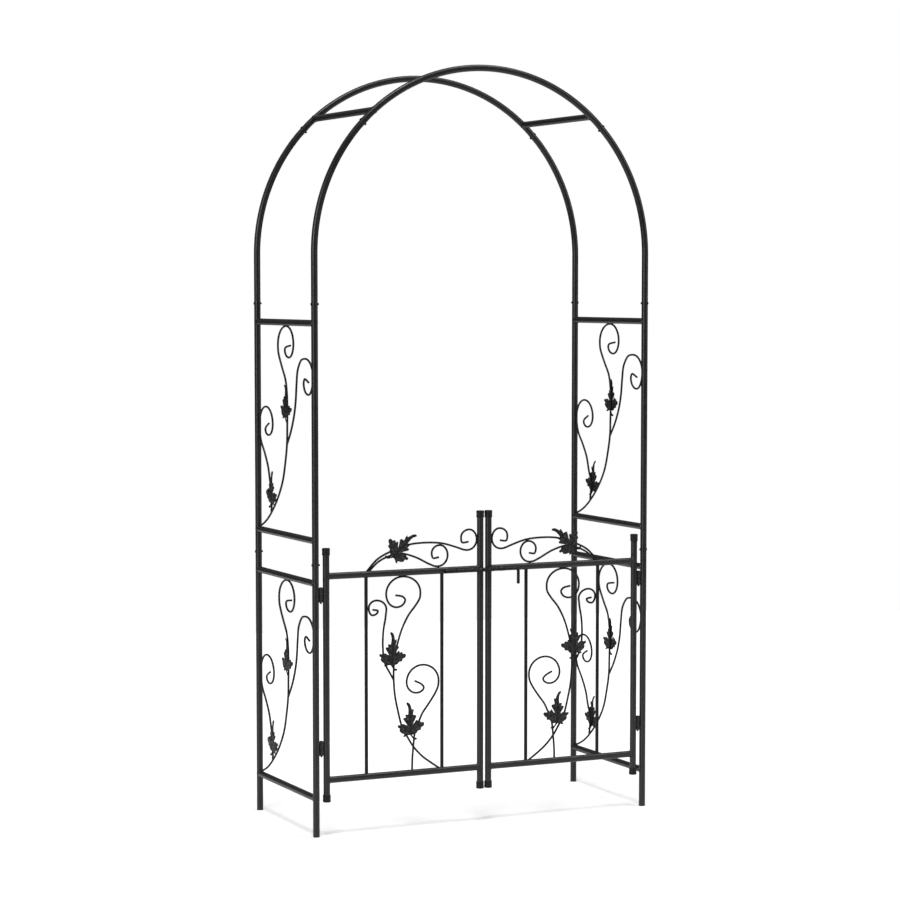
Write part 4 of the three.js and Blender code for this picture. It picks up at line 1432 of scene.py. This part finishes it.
def cap_shape(node, up, sizes):
    """A cup whose closed end is rounded, with a shallow waist between its end and its mouth."""
    middle_x, outer = middle(node).x, size(node).x / 2
    closed_end = high(node).z if up > 0 else low(node).z
    depth = size(node).z
    inner = TUBE_RADIUS + sizes.clearance
    soft = sizes.cap_round
    edge = []
    for step in range(CAP_ROUND_STEPS + 1):
        angle = math.pi / 2 * (1 - step / CAP_ROUND_STEPS)
        edge.append((outer - soft + soft * math.cos(angle), -soft + soft * math.sin(angle)))
    waist = outer - CAP_WAIST_DEPTH
    profile = [
        (0, 0), *edge,
        *zip((outer, waist, waist, outer), (-share * depth for share in CAP_WAIST)),
        (outer, -depth), (inner, -depth), (inner, -sizes.cap_top), (0, -sizes.cap_top),
    ]
    shape = bmesh.new()
    turned = [(radius, up * height) for radius, height in profile]
    turn_profile(shape, turned, Vector((middle_x, FRONT_Y, closed_end)))
    return shape


class GARDENARCH_OT_stile_caps(bpy.types.Operator):
    """Make the plastic caps on the ends of the gate's stiles"""

    bl_idname = "garden_arch.stile_caps"
    bl_label = "Stile Caps"

    def execute(self, context):
        sizes = context.scene.garden_arch_sizes
        for side_name in SIDES:
            for stile in ("hinge", "meeting"):
                for end, up in (("bottom", -1), ("top", 1)):
                    node = f"{side_name}_{stile}_stile_{end}_cap"
                    cap = solid_object(
                        f"{node}_moulded", cap_shape(node, up, sizes), finish(CAP_PLASTIC),
                        edge=sizes.cap_edge,
                    )
                    hand_over(cap, f"{side_name}_leaf", "cap_plastic", node)
        return {"FINISHED"}


# The sliding bolt, its two guides and its keeper

BOLT_BEND_STEPS = 12
BOLT_SLEEVES = {
    "bolt_keeper": "left_leaf",
    "inner_bolt_guide": "right_leaf",
    "outer_bolt_guide": "right_leaf",
}


def bolt_path(sizes):
    """The rod's centreline from its tip along the rail, round the bend and down the handle."""
    lowest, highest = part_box("sliding_bolt")
    radius = (highest.y - lowest.y) / 2
    y, z = (lowest.y + highest.y) / 2, highest.z - radius
    handle_x = highest.x - radius
    bend = sizes.bolt_bend
    points = [Vector((lowest.x, y, z))]
    for step in range(BOLT_BEND_STEPS + 1):
        angle = math.pi / 2 * step / BOLT_BEND_STEPS
        points.append(Vector((
            handle_x - bend + bend * math.sin(angle), y, z - bend + bend * math.cos(angle)
        )))
    points.append(Vector((handle_x, y, lowest.z)))
    return cut_ends(points, radius), radius


class GARDENARCH_OT_sliding_bolt(bpy.types.Operator):
    """Make the bolt's rod with its guides on the right leaf and its keeper on the left one"""

    bl_idname = "garden_arch.sliding_bolt"
    bl_label = "Sliding Bolt"

    def execute(self, context):
        sizes = context.scene.garden_arch_sizes
        path, radius = bolt_path(sizes)
        rod = round_bar("sliding_bolt_rod", [path], radius, finish(BLACK_OXIDE), sides=28)
        hand_over(rod, "bolt", "hinge_steel", "sliding_bolt")
        for node, body in BOLT_SLEEVES.items():
            place, outer = middle(node), size(node).z / 2
            ends = [Vector((x, place.y, place.z)) for x in (low(node).x, high(node).x)]
            sleeve = round_bar(
                f"{node}_tube", [Path(ends)], outer, finish(BLACK_OXIDE), sides=28,
                wall=sizes.sleeve_wall, edge=sizes.sleeve_edge,
            )
            hand_over(sleeve, body, "hinge_steel", node)
        return {"FINISHED"}


# Welds: beads round the bars' ends and along the fittings, and spots on the wires

WELDED_BODIES = ("root", "left_leaf", "right_leaf")
SADDLE_STEP, STRAIGHT_STEP = MM, 0.8 * MM
BEAD_END_SHARE = 0.5
BEAD_RIPPLE_SHARE = 0.16
SLEEVE_BEAD_MARGIN = 3 * MM
SLEEVE_BEAD_ASIDE = 0.55  # of the sleeve's radius, from its line of contact
SPOT_HEIGHT, SPOT_UNEVENNESS, SPOT_SPREAD = 0.72, 0.1, 0.12
SPOT_WAVES = (900, 1100)                    # in radians a metre
LEAF_SPOT_SIZE, LEAF_SPOT_LIFT = 1.25, 0.3  # of a plain spot, and of the wire's radius


def saddle(bar, from_start):
    """The closed line on which a bar's end meets its neighbour's tube."""
    way = (bar.end - bar.start).normalized() * (1 if from_start else -1)
    root = bar.start if from_start else bar.end
    sideways = way.cross(bar.neighbour_axis)
    points = []
    count = round(2 * math.pi * bar.radius / SADDLE_STEP)
    for step in range(count):
        angle = 2 * math.pi * step / count
        aside = bar.radius * math.sin(angle)
        out = math.sqrt(TUBE_RADIUS ** 2 - aside ** 2)
        points.append(
            root + way * out + sideways * aside
            + bar.neighbour_axis * (bar.radius * math.cos(angle))
        )
    return Path(points, closed=True)


def straight_bead(start, end):
    """A bead's path, thinning out at both ends."""
    count = round((end - start).length / STRAIGHT_STEP)
    points = [start.lerp(end, step / count) for step in range(count + 1)]
    return Path(points, [BEAD_END_SHARE, *[1.0] * (count - 1), BEAD_END_SHARE])


def hinge_beads(sizes):
    """Body and path of the upright beads where the hinges' webs meet their tubes."""
    half = sizes.web_thickness / 2
    reach = math.sqrt(TUBE_RADIUS ** 2 - half ** 2)
    for hinge in hinges(sizes):
        side = SIDES[hinge.side]
        on_post = side * (HALF_WIDTH - reach)
        on_stile = middle(f"{hinge.side}_hinge_stile_top_cap").x + side * reach
        margin = 2 * sizes.fine_bead_radius
        spans = [
            ("root", on_post, hinge.low, hinge.leaf_low),
            ("root", on_post, hinge.leaf_high, hinge.high),
            (f"{hinge.side}_leaf", on_stile, hinge.leaf_low, hinge.leaf_high),
        ]
        for body, x, bottom, top in spans:
            for y in (FRONT_Y - half, FRONT_Y + half):
                yield body, straight_bead(
                    Vector((x, y, bottom + margin)), Vector((x, y, top - margin))
                )


def sleeve_beads():
    """Body and path of the beads above and below each sleeve, where it lies on its rail."""
    for node, body in BOLT_SLEEVES.items():
        outer = size(node).z / 2
        apart = middle(node).y - FRONT_Y
        drop = middle(node).z - TOP_RAIL
        towards = Vector((0, apart, drop)).normalized()
        aside = ACROSS.cross(towards)
        contact = Vector((0, FRONT_Y, TOP_RAIL)) + towards * TUBE_RADIUS
        for way in (-1, 1):
            place = contact + aside * (way * SLEEVE_BEAD_ASIDE * outer)
            yield body, straight_bead(
                Vector((low(node).x + SLEEVE_BEAD_MARGIN, place.y, place.z)),
                Vector((high(node).x - SLEEVE_BEAD_MARGIN, place.y, place.z)),
            )


def lump_shape(radius):
    """A weld spot: a low, slightly uneven dome."""
    shape = bmesh.new()
    bmesh.ops.create_icosphere(shape, subdivisions=2, radius=radius)
    for vert in shape.verts:
        waves = (
            math.sin(SPOT_WAVES[0] * vert.co.x + 2) * math.sin(SPOT_WAVES[1] * vert.co.y + 1)
        )
        flattened = Vector((vert.co.x, vert.co.y, vert.co.z * SPOT_HEIGHT))
        vert.co = flattened * (1 + SPOT_UNEVENNESS * waves)
    return shape


class GARDENARCH_OT_welds(bpy.types.Operator):
    """Make the weld beads and spots that hold the tubes, wires and leaves together"""

    bl_idname = "garden_arch.welds"
    bl_label = "Welds"

    def execute(self, context):
        sizes = context.scene.garden_arch_sizes
        beads, fine_beads = ({body: [] for body in WELDED_BODIES} for _ in range(2))
        for bar in (*crossbars(sizes), *gate_bars(sizes)):
            group = beads if bar.radius == TUBE_RADIUS else fine_beads
            group[bar.body] += [saddle(bar, True), saddle(bar, False)]
        for body, path in (*hinge_beads(sizes), *sleeve_beads()):
            fine_beads[body].append(path)
        for name, group, radius in (
            ("weld_beads", beads, sizes.bead_radius),
            ("fine_weld_beads", fine_beads, sizes.fine_bead_radius),
        ):
            for body, paths in group.items():
                piece = round_bar(
                    f"{body}_{name}", paths, radius, finish(TUBE_COAT), sides=8,
                    ripple_share=BEAD_RIPPLE_SHARE, ripple_spacing=sizes.bead_ripple,
                )
                hand_over(piece, body, "coated_tube")
        self.add_spots(sizes)
        return {"FINISHED"}

    def add_spots(self, sizes):
        spots = {body: [] for body in WELDED_BODIES}
        for panel in panels(sizes):
            for place in WELDS[panel.kind]:
                spots[panel.body].append(Spot(on_panel(panel, place), panel.outward, 1.0))
            for leaf in LEAVES[panel.kind]:
                place = on_panel(panel, leaf.place, sizes.wire_radius * LEAF_SPOT_LIFT)
                spots[panel.body].append(Spot(place, panel.outward, LEAF_SPOT_SIZE))
        coated = finish(WIRE_COAT)
        template = solid_object("spot_template", lump_shape(sizes.spot_radius), coated)
        for seed, (body, places) in enumerate(spots.items()):
            piece = copies(
                f"{body}_weld_spots", template, places, coated, spread=SPOT_SPREAD, seed=seed
            )
            hand_over(piece, body, "coated_wire")
        remove(template)


# Floor, light and camera

# The camera is fitted to the photo's straight edges, and its rise is a share of the sensor
CAMERA_PLACE = Vector((-3.3778, -7.0587, 1.5560))
CAMERA_AZIMUTH = math.radians(25.514)
CAMERA_PITCH = math.radians(-4.38)
CAMERA_LENS = 105.65
CAMERA_RISE_SHARE = 0.0444
SENSOR_WIDTH = 36
FLOOR_SIZE = 4
FLOOR_COLOUR = "#e8e8e8"
FLOOR_LIFT = 0.2
FLOOR_GLOSSY_SHARE = 0.3
HORIZON_STRENGTH, CEILING_STRENGTH = 0.06, 0.35
BACKDROP_GLOSSY_SHARE = 0.06
LAMP_DISTANCE = 6

# Soft lamps: degrees round from the camera's side, degrees up, strength, and breadth in degrees
SOFTBOXES = {
    "left_softbox": (40, 12, 1.5, 30),
    "right_softbox": (-75, 15, 0.8, 30),
    "top_softbox": (-105, 64, 1.2, 30),
    "upper_softbox": (2, 73, 1.7, 18),
}


def seen_share(tree, glossy_share):
    """1 for what the camera or a transmission sees, and a share of it for reflections."""
    rays = add_node(tree, "ShaderNodeLightPath").outputs
    glossy = add_node(tree, MATH, {0: rays["Is Glossy Ray"], 1: glossy_share},
                      operation="MULTIPLY")
    plain = add_node(tree, MATH, {0: rays["Is Camera Ray"], 1: rays["Is Transmission Ray"]},
                     operation="MAXIMUM")
    return add_node(tree, MATH, {0: plain, 1: glossy}, operation="MAXIMUM")


def floor_finish():
    # Matt white studio floor: it keeps the shadow, and it is lifted to the backdrop's white
    # where the camera, a reflection or a transmission sees it.
    material, tree = new_material("matt_white_studio_floor")
    seen = seen_share(tree, FLOOR_GLOSSY_SHARE)
    lift = add_node(tree, MATH, {0: seen, 1: FLOOR_LIFT}, operation="MULTIPLY")
    matt = add_node(tree, "ShaderNodeBsdfDiffuse", {"Color": [*linear(FLOOR_COLOUR), 1.0]})
    glow = add_node(tree, "ShaderNodeEmission", {"Strength": lift})
    both = add_node(tree, "ShaderNodeAddShader", {0: matt, 1: glow})
    add_node(tree, "ShaderNodeOutputMaterial", {"Surface": both})
    return material


def studio_world():
    # White where it is seen. As a light, and in reflections, it is a white ceiling that gets
    # dim towards the horizon, so that the black tubes keep their dark edges.
    world = bpy.data.worlds.new("white_studio")
    world.use_nodes = True
    tree = world.node_tree
    tree.nodes.clear()
    way = add_node(tree, "ShaderNodeTexCoord").outputs["Object"]
    rise = add_node(tree, "ShaderNodeSeparateXYZ", {"Vector": way}).outputs["Z"]
    ceiling = add_node(tree, "ShaderNodeMapRange", {
        "Value": rise, "To Min": HORIZON_STRENGTH, "To Max": CEILING_STRENGTH,
    })
    seen = seen_share(tree, BACKDROP_GLOSSY_SHARE)
    strength = add_node(tree, MATH, {0: ceiling, 1: seen}, operation="MAXIMUM")
    light = add_node(tree, "ShaderNodeBackground", {
        "Color": [1.0, 1.0, 1.0, 1.0], "Strength": strength,
    })
    add_node(tree, "ShaderNodeOutputWorld", {"Surface": light})
    return world


def add_softbox(name, azimuth, elevation, strength, breadth):
    """Adds a lamp that lights the arch evenly from that side, as a broad softbox does."""
    lamp = bpy.data.lights.new(name, "SUN")
    lamp.energy = strength
    lamp.angle = math.radians(breadth)
    thing = new_object(name, lamp)
    around = CAMERA_AZIMUTH + math.radians(azimuth)
    level = Vector((-math.sin(around), -math.cos(around), 0))
    rise = math.radians(elevation)
    way = level * math.cos(rise) + UP * math.sin(rise)
    thing.location = way * LAMP_DISTANCE
    thing.rotation_euler = way.to_track_quat("Z", "Y").to_euler()


class GARDENARCH_OT_stage(bpy.types.Operator):
    """Make the white floor, the soft studio light and the camera"""

    bl_idname = "garden_arch.stage"
    bl_label = "Stage"

    def execute(self, context):
        scene = context.scene
        shape = bmesh.new()
        bmesh.ops.create_grid(shape, x_segments=1, y_segments=1, size=FLOOR_SIZE)
        floor = shape_object("studio_floor", shape, floor_finish())
        floor.location.z = cad_bounds[0].z

        scene.world = studio_world()
        scene.view_settings.view_transform = "Standard"
        for name, settings in SOFTBOXES.items():
            add_softbox(name, *settings)

        camera = bpy.data.cameras.new("photo_camera")
        camera.lens = CAMERA_LENS
        camera.sensor_width = SENSOR_WIDTH
        camera.shift_y = CAMERA_RISE_SHARE
        camera.clip_end = 100
        viewer = new_object("photo_camera", camera)
        viewer.location = CAMERA_PLACE
        viewer.rotation_euler = (math.pi / 2 + CAMERA_PITCH, 0, -CAMERA_AZIMUTH)
        scene.camera = viewer
        return {"FINISHED"}


class GARDENARCH_PT_sidebar(bpy.types.Panel):
    """Lists the arch's pieces in the order in which they are made"""

    bl_idname = "GARDENARCH_PT_sidebar"
    bl_label = "Garden Arch"
    bl_space_type = "VIEW_3D"
    bl_region_type = "UI"
    bl_category = "Garden Arch"

    def draw(self, context):
        for operator in OPERATORS:
            self.layout.operator(operator.bl_idname)
        for group in (context.scene.garden_arch_sizes, context.scene.garden_arch_colours):
            column = self.layout.column()
            for name in group.bl_rna.properties.keys():
                if name not in ("rna_type", "name"):
                    column.prop(group, name)


OPERATORS = (
    GARDENARCH_OT_stage,
    GARDENARCH_OT_frame_tubes,
    GARDENARCH_OT_frame_screws,
    GARDENARCH_OT_crossbars,
    GARDENARCH_OT_scrolls,
    GARDENARCH_OT_gate_frames,
    GARDENARCH_OT_hinges,
    GARDENARCH_OT_stile_caps,
    GARDENARCH_OT_sliding_bolt,
    GARDENARCH_OT_welds,
)
CLASSES = (GardenArchSizes, GardenArchColours, *OPERATORS, GARDENARCH_PT_sidebar)


def register():
    for entry in CLASSES:
        bpy.utils.register_class(entry)
    bpy.types.Scene.garden_arch_sizes = PointerProperty(type=GardenArchSizes)
    bpy.types.Scene.garden_arch_colours = PointerProperty(type=GardenArchColours)


def unregister():
    del bpy.types.Scene.garden_arch_colours
    del bpy.types.Scene.garden_arch_sizes
    for entry in reversed(CLASSES):
        bpy.utils.unregister_class(entry)


def main():
    register()
    bpy.ops.garden_arch.stage()
    bpy.ops.garden_arch.frame_tubes()
    bpy.ops.garden_arch.frame_screws()
    bpy.ops.garden_arch.crossbars()
    bpy.ops.garden_arch.scrolls(kind="side")
    bpy.ops.garden_arch.gate_frames()
    bpy.ops.garden_arch.scrolls(kind="gate")
    bpy.ops.garden_arch.scrolls(kind="crest")
    bpy.ops.garden_arch.hinges()
    bpy.ops.garden_arch.stile_caps()
    bpy.ops.garden_arch.sliding_bolt()
    bpy.ops.garden_arch.welds()


if __name__ == "__main__":
    main()
